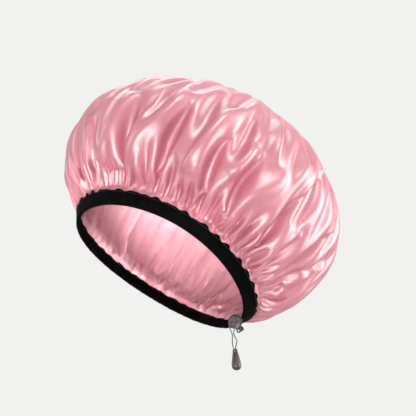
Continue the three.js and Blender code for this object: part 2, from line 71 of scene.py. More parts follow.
@dataclass(frozen=True)
class CapForm:
    """Driving sizes of the worn cap, in metres and radians, as the solids have them."""

    worn_tilt: float = math.radians(29.3)
    opening_radius: float = 0.087
    band_width: float = 0.013
    flare: float = math.radians(31)
    rim_dip: float = 0.0072
    dip_turn: float = math.radians(13)
    slot_turn: float = math.radians(13)
    sewn_depth: float = 0.0072
    puff_radius: float = 0.137
    puff_level: float = 0.083
    crown_rise: float = 0.0955
    skirt_drop: float = 0.076
    crown_power: float = 1.66
    skirt_power: float = 3.0
    puff_forward: float = 0.004
    fold_count: int = 16
    fold_depth: float = 0.0034
    fold_sweep: float = 1.45
    fold_drift: float = 0.26
    fold_drift_count: int = 4
    fold_start: float = 0.32
    profile_steps: int = 400

    @property
    def band_top(self) -> float:
        """Level of the band's sewn edge above the opening."""
        return self.band_width * math.cos(self.flare)

    @property
    def crown_top(self) -> float:
        """Level of the crown's highest point above the opening."""
        return self.puff_level + self.crown_rise

    def section(self, slant: Reals, out: Reals) -> tuple[Reals, Reals]:
        """Place in the band's section.

        Args:
            slant: distance up the band from its free edge.
            out: distance outwards from the middle of the ribbon.

        Returns:
            The radius and the level of the place.
        """
        radius = self.opening_radius + slant * math.sin(self.flare) + out * math.cos(self.flare)
        level = slant * math.cos(self.flare) - out * math.sin(self.flare)
        return radius, level

    def profile(self, count: int) -> tuple[np.ndarray, np.ndarray, np.ndarray]:
        """Line from the band's sewn edge up to the crown's pole, in even steps.

        Args:
            count: number of points.

        Returns:
            Radius, level and distance along the line at each point.
        """
        neck, low = self.section(self.band_width, 0)
        start = -math.acos((neck / self.puff_radius) ** (self.skirt_power / 2))
        skirt = np.linspace(start, 0, self.profile_steps)[1:]
        crown = np.linspace(0, math.pi / 2, self.profile_steps)[1:]
        radius = np.concatenate([
            [neck],
            self.puff_radius * np.cos(skirt) ** (2 / self.skirt_power),
            self.puff_radius * np.clip(np.cos(crown), 0, 1) ** (2 / self.crown_power),
        ])
        level = np.concatenate([
            [low],
            self.puff_level - self.skirt_drop * np.abs(np.sin(skirt)) ** (2 / self.skirt_power),
            self.puff_level + self.crown_rise * np.sin(crown) ** (2 / self.crown_power),
        ])
        radius[-1] = 0
        along = np.concatenate([[0], np.cumsum(np.hypot(np.diff(radius), np.diff(level)))])
        even = np.linspace(0, along[-1], count)
        return np.interp(even, along, radius), np.interp(even, along, level), even

    def leaned(self, x: Reals, y: Reals, z: Reals) -> np.ndarray:
        """Turn places of the cap's own axes into the row frame, in the last axis."""
        cos, sin = math.cos(self.worn_tilt), math.sin(self.worn_tilt)
        return np.stack([x * cos + z * sin, y, z * cos - x * sin], axis=-1)

    def settle(self, radius: Reals, turn: Reals, level: Reals) -> np.ndarray:
        """Bend a turned shape into the worn shape and lean it into the row frame.

        Args:
            radius: distance from the cap's axis.
            turn: angle about the axis, from the nape.
            level: height up the axis.

        Returns:
            Points of the row frame, in the last axis.
        """
        fade = 1 - smooth(level, self.band_top, self.crown_top)
        dip = self.rim_dip * np.cos(turn - self.dip_turn) ** 2 * fade
        forward = self.puff_forward * smooth(level, self.band_top, self.puff_level)
        return self.leaned(radius * np.cos(turn) - forward, radius * np.sin(turn), level - dip)

    def main_folds(self, turn: np.ndarray, level: np.ndarray) -> np.ndarray:
        """Relief of the broad folds that sweep round the cap as they rise.

        Args:
            turn: angle about the axis, from the nape.
            level: height up the axis.

        Returns:
            How far the cloth stands out.
        """
        rise = np.clip((level - self.band_top) / (self.crown_top - self.band_top), 0, 1)
        body = smooth(rise, 0, self.fold_start) * (1 - rise ** 3)
        turns = self.fold_sweep * rise + self.fold_drift * np.sin(self.fold_drift_count * turn)
        return self.fold_depth * body * np.sin(self.fold_count * turn + TURN * turns)

    def rim(self, turn: Reals, slant: Reals, out: Reals) -> np.ndarray:
        """Points of the row frame on the band, at a turn and at a place in the band's section."""
        radius, level = self.section(slant, out)
        return self.settle(radius, turn, level)


@dataclass(frozen=True)
class PhotoView:
    """Camera of the photograph: where it looks from, and where the origin lands in the frame."""

    frame_px: float = 416
    elevation: float = math.radians(-29.7)
    distance: float = 1.45
    px_per_metre: float = 1097.6
    origin_px: tuple[float, float] = (163.9, 262.8)
    sensor_mm: float = 36

    @property
    def back(self) -> np.ndarray:
        """Direction from the object to the camera."""
        return np.array([0, -math.cos(self.elevation), math.sin(self.elevation)])

    @property
    def up(self) -> np.ndarray:
        """Upward direction of the picture."""
        return np.array([0, math.sin(self.elevation), math.cos(self.elevation)])

    def pixels(self, points: np.ndarray) -> np.ndarray:
        """Where points of the row frame land in the photograph.

        Args:
            points: places in metres, in the last axis.

        Returns:
            Pixel x and y, in the last axis.
        """
        scale = self.px_per_metre * self.distance / (self.distance - points @ self.back)
        x = self.origin_px[0] + scale * points[..., 0]
        y = self.origin_px[1] - scale * (points @ self.up)
        return np.stack([x, y], axis=-1)

    def make_camera(self) -> bpy.types.Object:
        """Add the camera and make it the scene's own.

        Returns:
            The camera.
        """
        across = (self.frame_px / 2 - self.origin_px[0]) / self.px_per_metre
        raised = (self.origin_px[1] - self.frame_px / 2) / self.px_per_metre
        place = self.back * self.distance + np.array([across, 0, 0]) + self.up * raised
        bpy.ops.object.camera_add(location=place, rotation=(math.pi / 2 - self.elevation, 0, 0))
        camera = bpy.context.object
        camera.name = "camera"
        camera.data.sensor_width = self.sensor_mm
        width = self.frame_px / self.px_per_metre
        camera.data.lens = self.sensor_mm * self.distance / width
        bpy.context.scene.camera = camera
        return camera


# Mesh helpers


def deselect_all() -> None:
    """Leave edit mode and select nothing."""
    if bpy.context.object and bpy.context.object.mode != "OBJECT":
        bpy.ops.object.mode_set(mode="OBJECT")
    bpy.ops.object.select_all(action="DESELECT")


def named(obj: bpy.types.Object, name: str) -> bpy.types.Object:
    """Give an object and its data one name.

    Args:
        obj: the object.
        name: the name.

    Returns:
        The same object.
    """
    obj.name = name
    obj.data.name = name
    return obj


def place_in_mesh(obj: bpy.types.Object, matrix: Matrix | None = None) -> bpy.types.Object:
    """Put an object's place, and a further move, into its mesh.

    Args:
        obj: the object.
        matrix: a move to the row frame after the object's own.

    Returns:
        The object, at the origin, unturned and unscaled.
    """
    full = (matrix or Matrix.Identity(4)) @ obj.matrix_world
    obj.data.transform(full)
    obj.matrix_world = Matrix.Identity(4)
    return obj


def box(size: Place, place: Place) -> bpy.types.Object:
    """Add a box of a size at a place.

    Args:
        size: its sides.
        place: its middle.

    Returns:
        The box.
    """
    deselect_all()
    bpy.ops.mesh.primitive_cube_add(size=1, location=place)
    obj = bpy.context.object
    obj.scale = size
    bpy.ops.object.transform_apply(location=True, rotation=True, scale=True)
    return obj


def rod(radius: float, depth: float, place: Place, along: str, sides: int = 48) -> bpy.types.Object:
    """Add a cylinder along an axis at a place.

    Args:
        radius: its radius.
        depth: its length.
        place: its middle.
        along: the axis, X, Y or Z.
        sides: number of its sides.

    Returns:
        The cylinder.
    """
    turn = {"X": (0, math.pi / 2, 0), "Y": (math.pi / 2, 0, 0), "Z": (0, 0, 0)}[along]
    deselect_all()
    bpy.ops.mesh.primitive_cylinder_add(
        vertices=sides, radius=radius, depth=depth, location=place, rotation=turn
    )
    bpy.ops.object.transform_apply(location=True, rotation=True, scale=True)
    return bpy.context.object


def stretch(obj: bpy.types.Object, axis: str, amount: float, middle: float = 1e-7) -> None:
    """Move the two halves of an object apart.

    Args:
        obj: the object.
        axis: the axis along which they move, x, y or z.
        amount: how far each half moves.
        middle: points at most this far from the middle stay; none does where it is negative.
    """
    index = "xyz".index(axis)
    for vertex in obj.data.vertices:
        if abs(vertex.co[index]) > middle:
            vertex.co[index] += math.copysign(amount, vertex.co[index])


def select_only(obj: bpy.types.Object) -> None:
    """Select one object and make it the active one.

    Args:
        obj: the object.
    """
    deselect_all()
    bpy.context.view_layer.objects.active = obj
    obj.select_set(True)


def apply_modifier(obj: bpy.types.Object, kind: str, **settings: object) -> None:
    """Add a modifier and apply it at once.

    Args:
        obj: the object.
        kind: the modifier's type.
        **settings: its settings by name.
    """
    select_only(obj)
    modifier = obj.modifiers.new(kind.lower(), kind)
    for key, value in settings.items():
        setattr(modifier, key, value)
    bpy.ops.object.modifier_apply(modifier=modifier.name)


def round_edges(obj: bpy.types.Object, width: float, segments: int, degrees: float) -> None:
    """Round the edges where faces meet at more than an angle.

    Args:
        obj: the object.
        width: the rounding's width.
        segments: its number of faces.
        degrees: the angle.
    """
    apply_modifier(
        obj, "BEVEL", width=width, segments=segments, limit_method="ANGLE",
        angle_limit=math.radians(degrees),
    )


def cut_away(obj: bpy.types.Object, cutters: list[bpy.types.Object], join: bool = False) -> None:
    """Cut shapes out of an object, or join them to it, and delete them.

    Args:
        obj: the object that is cut.
        cutters: the shapes.
        join: join instead of cutting.
    """
    operation = "UNION" if join else "DIFFERENCE"
    for cutter in cutters:
        apply_modifier(obj, "BOOLEAN", operation=operation, object=cutter, solver="EXACT")
        bpy.data.objects.remove(cutter)


def tidy_mesh(obj: bpy.types.Object, merge: float = 1e-7, recalculate: bool = False) -> None:
    """Merge doubled points, and turn faces outwards where asked.

    Args:
        obj: the object.
        merge: distance below which points merge.
        recalculate: make the normals consistent.
    """
    select_only(obj)
    bpy.ops.object.mode_set(mode="EDIT")
    bpy.ops.mesh.select_all(action="SELECT")
    bpy.ops.mesh.remove_doubles(threshold=merge)
    if recalculate:
        bpy.ops.mesh.normals_make_consistent(inside=False)
    bpy.ops.object.mode_set(mode="OBJECT")


def shade(obj: bpy.types.Object, degrees: float = 180) -> None:
    """Shade an object smooth where its faces meet at less than an angle."""
    select_only(obj)
    bpy.ops.object.shade_smooth_by_angle(angle=math.radians(degrees))


def finish_solid(obj: bpy.types.Object, matrix: Matrix, merge: float = 1e-6, degrees: float = 35) -> None:
    """Put a solid in its place with clean, outward faces, and shade it.

    Args:
        obj: the object.
        matrix: a move to the row frame after the object's own.
        merge: distance below which points merge.
        degrees: the angle below which faces are shaded smooth.
    """
    place_in_mesh(obj, matrix)
    tidy_mesh(obj, merge, recalculate=True)
    shade(obj, degrees)


def grid_sheet(name: str, points: np.ndarray, closed_section: bool = False) -> bpy.types.Object:
    """Make a sheet from a grid of points that closes round the cap.

    Args:
        name: the piece's name.
        points: places by row and column, with no repeated column.
        closed_section: the rows close on themselves too, as round a ring.

    Returns:
        The object, with a UV map of turns across and rows up.
    """
    rows, columns = points.shape[:2]
    wrapped = np.concatenate([points, points[:, :1]], axis=1)
    if closed_section:
        wrapped = np.concatenate([wrapped, wrapped[:1]], axis=0)
        rows += 1
    deselect_all()
    bpy.ops.mesh.primitive_grid_add(
        x_subdivisions=columns, y_subdivisions=rows - 1, size=1, calc_uvs=True
    )
    obj = named(bpy.context.object, name)
    obj.data.vertices.foreach_set("co", wrapped.reshape(-1).astype(np.float32))
    obj.data.update()
    tidy_mesh(obj)
    return obj


# No cord starts in this direction, so it gives a tube's first side.
SIDELONG = (0.3, 0.5, 0.8)


def tube(name: str, path: np.ndarray, radius: float, sides: int = 16,
         degrees: float = 60) -> bpy.types.Object:
    """Make a round tube with closed ends along a path.

    Args:
        name: the piece's name.
        path: the centre line's points.
        radius: the tube's radius.
        sides: sides of its section.
        degrees: the angle below which faces are shaded smooth.

    Returns:
        The object, with a UV map of turns across and metres along.
    """
    along = np.concatenate([[0], np.cumsum(np.linalg.norm(np.diff(path, axis=0), axis=1))])
    tangent = np.gradient(path, along, axis=0)
    tangent /= np.linalg.norm(tangent, axis=1)[:, None]
    first = np.cross(tangent[0], SIDELONG)
    first /= np.linalg.norm(first)
    side = np.empty_like(path)
    side[0] = first
    for i in range(1, len(path)):
        moved = side[i - 1] - tangent[i] * (side[i - 1] @ tangent[i])
        side[i] = moved / np.linalg.norm(moved)
    other = np.cross(tangent, side)
    angle = np.arange(sides) * TURN / sides
    ring = path[:, None] + radius * (
        np.cos(angle)[None, :, None] * side[:, None] + np.sin(angle)[None, :, None] * other[:, None]
    )
    points = np.concatenate([path[:1, None].repeat(sides, 1), ring, path[-1:, None].repeat(sides, 1)])
    obj = grid_sheet(name, points)
    share = np.concatenate([[0], along, along[-1:]])
    uv = obj.data.uv_layers[0]
    values = np.empty(len(uv.data) * 2, np.float32)
    uv.data.foreach_get("uv", values)
    values = values.reshape(-1, 2)
    values[:, 1] = np.interp(values[:, 1], np.linspace(0, 1, len(share)), share)
    uv.data.foreach_set("uv", values.reshape(-1))
    tidy_mesh(obj, recalculate=True)
    shade(obj, degrees)
    return obj


def smooth_path(points: np.ndarray, steps: int) -> np.ndarray:
    """Run a smooth line through points (centripetal Catmull-Rom).

    Args:
        points: the points that the line passes.
        steps: steps between two points.

    Returns:
        The line's points.
    """
    ends = [2 * points[0] - points[1], *points, 2 * points[-1] - points[-2]]
    path = []
    for a, b, c, d in zip(ends, ends[1:], ends[2:], ends[3:]):
        knots = np.cumsum([0, *(np.sqrt(np.linalg.norm(q - p)) for p, q in ((a, b), (b, c), (c, d)))])
        for t in np.linspace(knots[1], knots[2], steps, endpoint=False):
            near = [
                p + (q - p) * (t - knots[i]) / (knots[i + 1] - knots[i])
                for i, (p, q) in enumerate(((a, b), (b, c), (c, d)))
            ]
            mid = [
                near[i] + (near[i + 1] - near[i]) * (t - knots[i]) / (knots[i + 2] - knots[i])
                for i in range(2)
            ]
            path.append(mid[0] + (mid[1] - mid[0]) * (t - knots[1]) / (knots[2] - knots[1]))
    return np.array([*path, points[-1]])


# Shader helpers


class Signal:
    """A number or colour socket that takes part in sums."""

    def __init__(self, tree: "NodeBench", socket: bpy.types.NodeSocket) -> None:
        """Keep the tree and the socket."""
        self.tree = tree
        self.socket = socket

    def __add__(self, other: object) -> "Signal":
        """Sum."""
        return self.tree.math("ADD", self, other)

    __radd__ = __add__

    def __mul__(self, other: object) -> "Signal":
        """Product."""
        return self.tree.math("MULTIPLY", self, other)

    __rmul__ = __mul__

    def __sub__(self, other: object) -> "Signal":
        """Difference."""
        return self.tree.math("SUBTRACT", self, other)

    def __rsub__(self, other: object) -> "Signal":
        """Difference from a number."""
        return self.tree.math("SUBTRACT", other, self)

    def __truediv__(self, other: object) -> "Signal":
        """Quotient."""
        return self.tree.math("DIVIDE", self, other)


class NodeBench:
    """Adds and links the nodes of one node tree."""

    def __init__(self, tree: bpy.types.NodeTree) -> None:
        """Keep the tree's nodes and links."""
        self.nodes, self.links = tree.nodes, tree.links

    def node(self, kind: str, settings: dict | None = None, inputs: dict | None = None,
             output: int | str = 0) -> Signal:
        """Add a node.

        Args:
            kind: the node's type.
            settings: properties that are set first.
            inputs: values or signals by socket name or number.
            output: the output that is returned.

        Returns:
            The output as a signal.
        """
        added = self.nodes.new(kind)
        for key, value in (settings or {}).items():
            setattr(added, key, value)
        for key, value in (inputs or {}).items():
            self.feed(added.inputs[key], value)
        return Signal(self, added.outputs[output])

    def math(self, operation: str, *values: object) -> Signal:
        """Add a Math node for one operation on values or signals."""
        return self.node("ShaderNodeMath", {"operation": operation}, dict(enumerate(values)))

    def feed(self, socket: bpy.types.NodeSocket, value: object) -> None:
        """Set a socket to a value or link a signal to it.

        Args:
            socket: the input.
            value: the value or signal.
        """
        if isinstance(value, Signal):
            self.links.new(value.socket, socket)
        else:
            socket.default_value = value

    def seen_directly(self) -> Signal:
        """Find the rays that show the backdrop: the camera's, and those of gloss and of clear pieces.

        Returns:
            1 for these rays and 0 for the others.
        """
        first, *others = (
            self.node("ShaderNodeLightPath", output=name)
            for name in ("Is Camera Ray", "Is Glossy Ray", "Is Transmission Ray")
        )
        for other in others:
            first = self.math("MAXIMUM", first, other)
        return first


@dataclass(frozen=True)
class Mottle:
    """Noise over a surface: its repeats per metre, and how fine its detail goes."""

    scale: float
    detail: float


@dataclass(frozen=True)
class Relief:
    """Bump: its depth in metres, and how strongly it shows."""

    depth: float
    strength: float


class FinishTree(NodeBench):
    """Node tree of one material, with a Principled shader at its end."""

    def __init__(self, name: str) -> None:
        """Make the material and find its shader."""
        self.material = bpy.data.materials.new(name)
        self.material.use_nodes = True
        super().__init__(self.material.node_tree)
        self.shader = self.nodes["Principled BSDF"]

    def set(self, **inputs: object) -> None:
        """Set or link the shader's sockets; an underscore stands for a space."""
        for key, value in inputs.items():
            self.feed(self.shader.inputs[key.replace("_", " ")], value)

    def mix(self, share: object, first: object, second: object) -> Signal:
        """Blend two colours by a share."""
        inputs = {0: share, 6: first, 7: second}
        return self.node("ShaderNodeMix", {"data_type": "RGBA"}, inputs, output=2)

    def noise(self, mottle: Mottle) -> Signal:
        """Noise on the object's own coordinates.

        Args:
            mottle: its scale and detail.

        Returns:
            The noise, from 0 to 1.
        """
        place = self.node("ShaderNodeTexCoord", output="Object")
        inputs = {"Vector": place, "Scale": mottle.scale, "Detail": mottle.detail}
        return self.node("ShaderNodeTexNoise", None, inputs)

    def uv_axes(self) -> tuple[Signal, Signal]:
        """The two numbers of the piece's UV map."""
        split = self.node("ShaderNodeSeparateXYZ", None, {0: self.node("ShaderNodeUVMap")})
        return split, Signal(self, split.socket.node.outputs[1])

    def bump(self, height: Signal, relief: Relief) -> Signal:
        """Bump from a height from 0 to 1."""
        inputs = {"Strength": relief.strength, "Distance": relief.depth, "Height": height}
        return self.node("ShaderNodeBump", None, inputs)

    def wave(self, value: Signal) -> Signal:
        """Sine of a value, from 0 to 1."""
        return self.math("SINE", value) * 0.5 + 0.5


def rgba(red: int, green: int, blue: int) -> Colour:
    """Linear colour of an sRGB colour given from 0 to 255.

    Args:
        red: the red share of 255.
        green: the green one.
        blue: the blue one.

    Returns:
        Red, green, blue and alpha, from 0 to 1.
    """
    linear = [
        c / 12.92 if c <= 0.04045 else ((c + 0.055) / 1.055) ** 2.4
        for c in (red / 255, green / 255, blue / 255)
    ]
    return (*linear, 1.0)


# Finishes


@dataclass(frozen=True)
class Stuff:
    """Finish whose colour, dullness and relief follow patterns from 0 to 1.

    Its plain sockets are the same all over the surface.
    """

    name: str
    colour: Colour
    other: Colour
    roughness: float
    dulling: float
    relief: Relief
    plain: tuple[tuple[str, float], ...] = ()

    def patterns(self, tree: FinishTree) -> tuple[Signal, Signal, Signal]:
        """Patterns of the colour, the dullness and the height; each kind of stuff has its own."""
        raise NotImplementedError

    def build(self) -> bpy.types.Material:
        """Make the material.

        Returns:
            The material.
        """
        tree = FinishTree(self.name)
        tint, dull, height = self.patterns(tree)
        tree.set(
            Base_Color=tree.mix(tint, self.colour, self.other),
            Roughness=self.roughness + dull * self.dulling,
            Normal=tree.bump(height, self.relief),
            **dict(self.plain),
        )
        return tree.material


@dataclass(frozen=True)
class Satin(Stuff):
    """Glossy woven satin, whose threads follow the piece's UV map."""

    thread_pitch: float = 0.35 * MM
    float_pitches: tuple[float, float] = (5, 2)
    weave_share: float = 0.6
    patches: Mottle = Mottle(9, 3)
    patch_share: float = 0.7
    slubs: Mottle = Mottle(55, 4)

    def patterns(self, tree: FinishTree) -> tuple[Signal, Signal, Signal]:
        """Broad patches, slubs, and threads with floats over them.

        Args:
            tree: the material's nodes.

        Returns:
            The patches' share, the slubs, and the height of the cloth.
        """
        across, up = tree.uv_axes()
        pitch = TURN / self.thread_pitch
        float_across, float_up = self.float_pitches
        weave = tree.wave(across * pitch)
        floats = tree.wave(up * (pitch / float_up) + across * (pitch / float_across))
        cloth = weave * self.weave_share + floats * (1 - self.weave_share)
        return tree.noise(self.patches) * self.patch_share, tree.noise(self.slubs), cloth


@dataclass(frozen=True)
class Ribbon(Stuff):
    """Woven ribbon with a little dust, and fine ribs across its width."""

    ribs: float = 900
    dust: Mottle = Mottle(120, 4)
    dust_share: float = 0.5

    def patterns(self, tree: FinishTree) -> tuple[Signal, Signal, Signal]:
        """Dust, and ribs for the height.

        Args:
            tree: the material's nodes.

        Returns:
            The dust's share, the dust, and the ribs.
        """
        across, _ = tree.uv_axes()
        dust = tree.noise(self.dust)
        return dust * self.dust_share, dust, tree.wave(across * self.ribs * TURN)


@dataclass(frozen=True)
class Braid(Stuff):
    """Thin braided elastic: two sets of strands that wind opposite ways."""

    strands: float = 4
    lay: float = 1.6 * MM

    def patterns(self, tree: FinishTree) -> tuple[Signal, Signal, Signal]:
        """The braid, for all three.

        Args:
            tree: the material's nodes.

        Returns:
            The braid, three times.
        """
        across, along = tree.uv_axes()
        right = tree.wave((across * self.strands + along / self.lay) * TURN)
        left = tree.wave((across * self.strands - along / self.lay) * TURN)
        return (right * left,) * 3


@dataclass(frozen=True)
class Mottled(Stuff):
    """Matt stuff with one noise."""

    mottle: Mottle = Mottle(180, 3)

    def patterns(self, tree: FinishTree) -> tuple[Signal, Signal, Signal]:
        """The noise, for all three."""
        return (tree.noise(self.mottle),) * 3


@dataclass(frozen=True)
class Moulding(Stuff):
    """Translucent moulding with faint flow marks and fine scuffs."""

    flow: Mottle = Mottle(160, 2)
    scuffs: Mottle = Mottle(1400, 3)

    def patterns(self, tree: FinishTree) -> tuple[Signal, Signal, Signal]:
        """Flow marks, and scuffs for the dullness."""
        flow = tree.noise(self.flow)
        return flow, tree.noise(self.scuffs), flow


@dataclass(frozen=True)
class Metal(Stuff):
    """Plated or bright metal with fine polishing marks and slight tarnish."""

    tarnish: Mottle = Mottle(260, 3)
    grain: Mottle = Mottle(1100, 4)

    def patterns(self, tree: FinishTree) -> tuple[Signal, Signal, Signal]:
        """Tarnish for the colour, and the polish's grain."""
        grain = tree.noise(self.grain)
        return tree.noise(self.tarnish), grain, grain


THREADS = Relief(0.02 * MM, 0.3)
POLISH = Relief(0.02 * MM, 0.2)
METAL = (("Metallic", 1.0),)


class Finish(Enum):
    """The cap's finishes. The film is rosy like the satin that lies on both sides of it; the lining's pinks
    carry painted light.
    """

    OUTER_SATIN = Satin(
        "outer_satin", rgba(192, 104, 119), rgba(174, 84, 101), 0.38, 0.1, THREADS, (("IOR", 2.4),)
    )
    # The lining's own pink, made lighter than the outer satin's: painted light that makes up for the shade
    # inside the cap.
    LINING_SATIN = Satin(
        "lining_satin", rgba(238, 178, 187), rgba(229, 162, 172), 0.37, 0.1, THREADS, (("IOR", 2.1),)
    )
    RIBBON = Ribbon(
        "ribbon_black", rgba(3, 3, 3), rgba(11, 10, 10), 0.6, 0.2, Relief(0.06 * MM, 0.5),
        (("Specular_IOR_Level", 0.02),),
    )
    CORD = Braid(
        "elastic_cord", rgba(84, 78, 77), rgba(150, 144, 142), 0.75, -0.2, Relief(0.06 * MM, 0.8)
    )
    THREAD = Mottled(
        "sewing_thread", rgba(30, 28, 28), rgba(52, 49, 49), 0.6, 0.1, Relief(0.05 * MM, 0.5),
        mottle=Mottle(2500, 1),
    )
    FILM = Mottled(
        "waterproof_film", rgba(214, 142, 153), rgba(200, 126, 138), 0.35, 0.1, Relief(0.1 * MM, 0.3)
    )
    SMOKE = Moulding(
        "smoke_plastic", rgba(78, 67, 70), rgba(58, 50, 53), 0.28, 0.14, Relief(0.1 * MM, 0.15),
        (("Specular_IOR_Level", 0.15), ("IOR", 1.49), ("Transmission_Weight", 0.42)),
    )
    GUNMETAL = Metal("gunmetal", rgba(104, 99, 98), rgba(72, 68, 68), 0.42, 0.1, POLISH, METAL)
    SPRING = Metal("spring_steel", rgba(196, 198, 202), rgba(170, 172, 178), 0.24, 0.1, POLISH, METAL)


class Wardrobe:
    """Makes each finish once and dresses pieces in it."""

    def __init__(self) -> None:
        """Start with no material made."""
        self.made: dict[Finish, bpy.types.Material] = {}

    def dress(self, obj: bpy.types.Object, finish: Finish) -> None:
        """Give a piece its finish.

        Args:
            obj: the piece.
            finish: its finish.
        """
        if finish not in self.made:
            self.made[finish] = finish.value.build()
        obj.data.materials.clear()
        obj.data.materials.append(self.made[finish])


# Fabric


class Crease(Enum):
    """How a fold stands: a round ridge, or a lip tucked over the cloth beside it."""

    RIDGE = 0
    TUCK_LEFT = -1
    TUCK_RIGHT = 1


@dataclass(frozen=True)
class Fold:
    """One fold of the front, drawn from the band towards the crown.

    The line's points are pixels of the photograph. Height and breadth are metres.
    """

    name: str
    kind: Crease
    height: float
    breadth: float
    line: tuple[tuple[float, float], ...]
    lip_softness: float = 0.55 * MM
    lip_rise: float = 1.35
    lip_sink: float = 0.55
    line_steps: int = 6
    reach_breadths: float = 3.2
    end_taper: float = 0.45
    least_facing: float = 0.02
    most_turned: float = -0.3
    hidden_px: float = 1e3

    def profile(self, across: np.ndarray) -> np.ndarray:
        """Height of the fold beside its line.

        Args:
            across: distance to the right of the line.

        Returns:
            How far the cloth stands out.
        """
        if self.kind is Crease.RIDGE:
            return self.height * np.exp(-((across / self.breadth) ** 2))
        side = across * self.kind.value
        lip = 1 / (1 + np.exp(-side / self.lip_softness))
        return self.height * np.exp(-np.abs(side) / self.breadth) * (self.lip_rise * lip - self.lip_sink)

    def path_on(self, layer: "Layer", view: PhotoView, facing: np.ndarray) -> np.ndarray:
        """Lay the fold's line on a layer's base.

        Args:
            layer: the layer.
            view: the camera that the line's pixels belong to.
            facing: how far each point of the layer faces the camera.

        Returns:
            Points of a smooth line on the base.
        """
        seen = view.pixels(layer.base)
        hidden = np.where(facing > self.least_facing, 0, self.hidden_px)
        found = [
            layer.base[np.argmin(np.hypot(seen[:, 0] - x, seen[:, 1] - y) + hidden)]
            for x, y in self.line
        ]
        return smooth_path(np.array(found), self.line_steps)

    @staticmethod
    def beside(path: np.ndarray, points: np.ndarray,
               normals: np.ndarray) -> tuple[np.ndarray, np.ndarray, np.ndarray]:
        """Where points lie beside a line.

        Args:
            path: the line's points.
            points: the places that are asked for.
            normals: the cloth's outward direction at each.

        Returns:
            Distance to the right of the line, share of the line's length, and distance past its ends.
        """
        best = np.full(len(points), np.inf)
        across = np.zeros(len(points))
        share = np.zeros(len(points))
        for i, (a, b) in enumerate(zip(path, path[1:])):
            step = b - a
            length = np.linalg.norm(step)
            t = np.clip((points - a) @ step / length ** 2, 0, 1)
            gap = points - (a + t[:, None] * step)
            distance = np.linalg.norm(gap, axis=1)
            closer = distance < best
            right = np.cross(step / length, normals)
            best[closer] = distance[closer]
            across[closer] = (gap * right).sum(axis=1)[closer]
            share[closer] = ((i + t) / (len(path) - 1))[closer]
        return across, share, np.sqrt(np.maximum(best ** 2 - across ** 2, 0))

    def relief(self, layer: "Layer", view: PhotoView) -> np.ndarray:
        """Height of the fold over a layer's base.

        Args:
            layer: the layer.
            view: the camera that the line's pixels belong to.

        Returns:
            How far each point of the layer stands out.
        """
        facing = layer.normal @ view.back
        path = self.path_on(layer, view, facing)
        reach = self.reach_breadths * self.breadth
        inside = (layer.base > path.min(axis=0) - reach) & (layer.base < path.max(axis=0) + reach)
        near = inside.all(axis=1) & (facing > self.most_turned)
        across, share, beyond = self.beside(path, layer.base[near], layer.normal[near])
        ends = np.sin(np.clip(share, 0, 1) * math.pi) ** self.end_taper
        height = np.zeros(len(layer.base))
        height[near] = self.profile(across) * ends * np.exp(-((beyond / self.breadth) ** 2))
        return height


@dataclass(frozen=True)
class Pleats:
    """Irregular folds that run up from the band all round it.

    The drift moves them sideways, and the strength makes some deep and some shallow. Both are sums of
    waves of drawn counts, phases and slopes.
    """

    count: int
    height: float
    full: float
    fade: float
    end: float
    wander: float
    sweep: float
    seed: int
    waves: int = 9
    drift_counts: tuple[int, int] = (1, 12)
    drift_slope: float = 28
    drift_gain: float = 4
    strength_counts: tuple[int, int] = (2, 20)
    strength_slope: float = 20
    strength_mean: float = 0.62
    strength_gain: float = 0.24
    strength_limits: tuple[float, float] = (0.08, 1.4)
    roundness: float = 0.85
    middle: float = 0.6
    reach_change: float = 0.55
    reach_waves: tuple[float, float] = (2.3, 3)

    def relief(self, turn: np.ndarray, rise: np.ndarray) -> np.ndarray:
        """Height of the folds.

        Args:
            turn: angle about the cap's axis.
            rise: distance up the cloth from the seam.

        Returns:
            How far the cloth stands out.
        """
        random = np.random.default_rng(self.seed)

        def drawn_wave(counts: tuple[int, int], steepest: float) -> tuple[int, np.ndarray]:
            """Draw a wave's count, phase and slope.

            Args:
                counts: the count's range.
                steepest: the slope's limit.

            Returns:
                The count, and the wave's height.
            """
            count = random.integers(*counts)
            phase, slope = random.uniform(0, TURN), random.uniform(-steepest, steepest)
            return count, np.sin(count * turn + phase + slope * rise)

        drift = np.zeros_like(turn)
        strength = np.zeros_like(turn)
        for _ in range(self.waves):
            count, wave = drawn_wave(self.drift_counts, self.drift_slope)
            drift += wave / count
            strength += drawn_wave(self.strength_counts, self.strength_slope)[1]
        swept = turn + self.wander * drift / self.count * self.drift_gain + self.sweep * rise
        strength = np.clip(self.strength_mean + self.strength_gain * strength, *self.strength_limits)
        tops = np.abs(np.sin(self.count * swept / 2)) ** self.roundness
        by_drift, by_strength = self.reach_waves
        reach = 1 + self.reach_change * np.sin(drift * by_drift + strength * by_strength)
        mask = smooth(rise, 0, self.full) * (1 - smooth(rise / reach, self.fade, self.end))
        return self.height * mask * strength * (tops - self.middle)


@dataclass(frozen=True)
class CutPlan:
    """How a layer's round of cloth is divided: rings from the seam to the crown.

    A zone reaches up to its first number, has its second number of points round each ring, and its
    third is the gap between its rings.
    """

    sewn: float = 7.2 * MM
    zones: tuple[tuple[float, int, float], ...] = (
        (0.03, 768, 0.0013),
        (0.2, 384, 0.0024),
        (0.235, 192, 0.003),
        (0.255, 96, 0.004),
        (1.0, 48, 0.005),
    )
    last_gap: float = 4 * MM

    def rings(self, total: float) -> list[tuple[float, int]]:
        """Distance from the seam and number of points of each ring.

        Args:
            total: distance from the seam to the crown's pole.

        Returns:
            The rings, from the sewn edge up.
        """
        found = [(rise, self.zones[0][1]) for rise in (-self.sewn, -self.sewn / 2)]
        rise = 0.0
        while rise < total - self.last_gap:
            _, columns, gap = next(zone for zone in self.zones if rise < zone[0])
            found.append((rise, columns))
            rise += gap
        return found


def read_ring(ring: np.ndarray, turns: np.ndarray) -> np.ndarray:
    """Read the values of a closed ring of points at places given in turns."""
    return np.interp(turns, np.arange(len(ring)) / len(ring), ring, period=1)


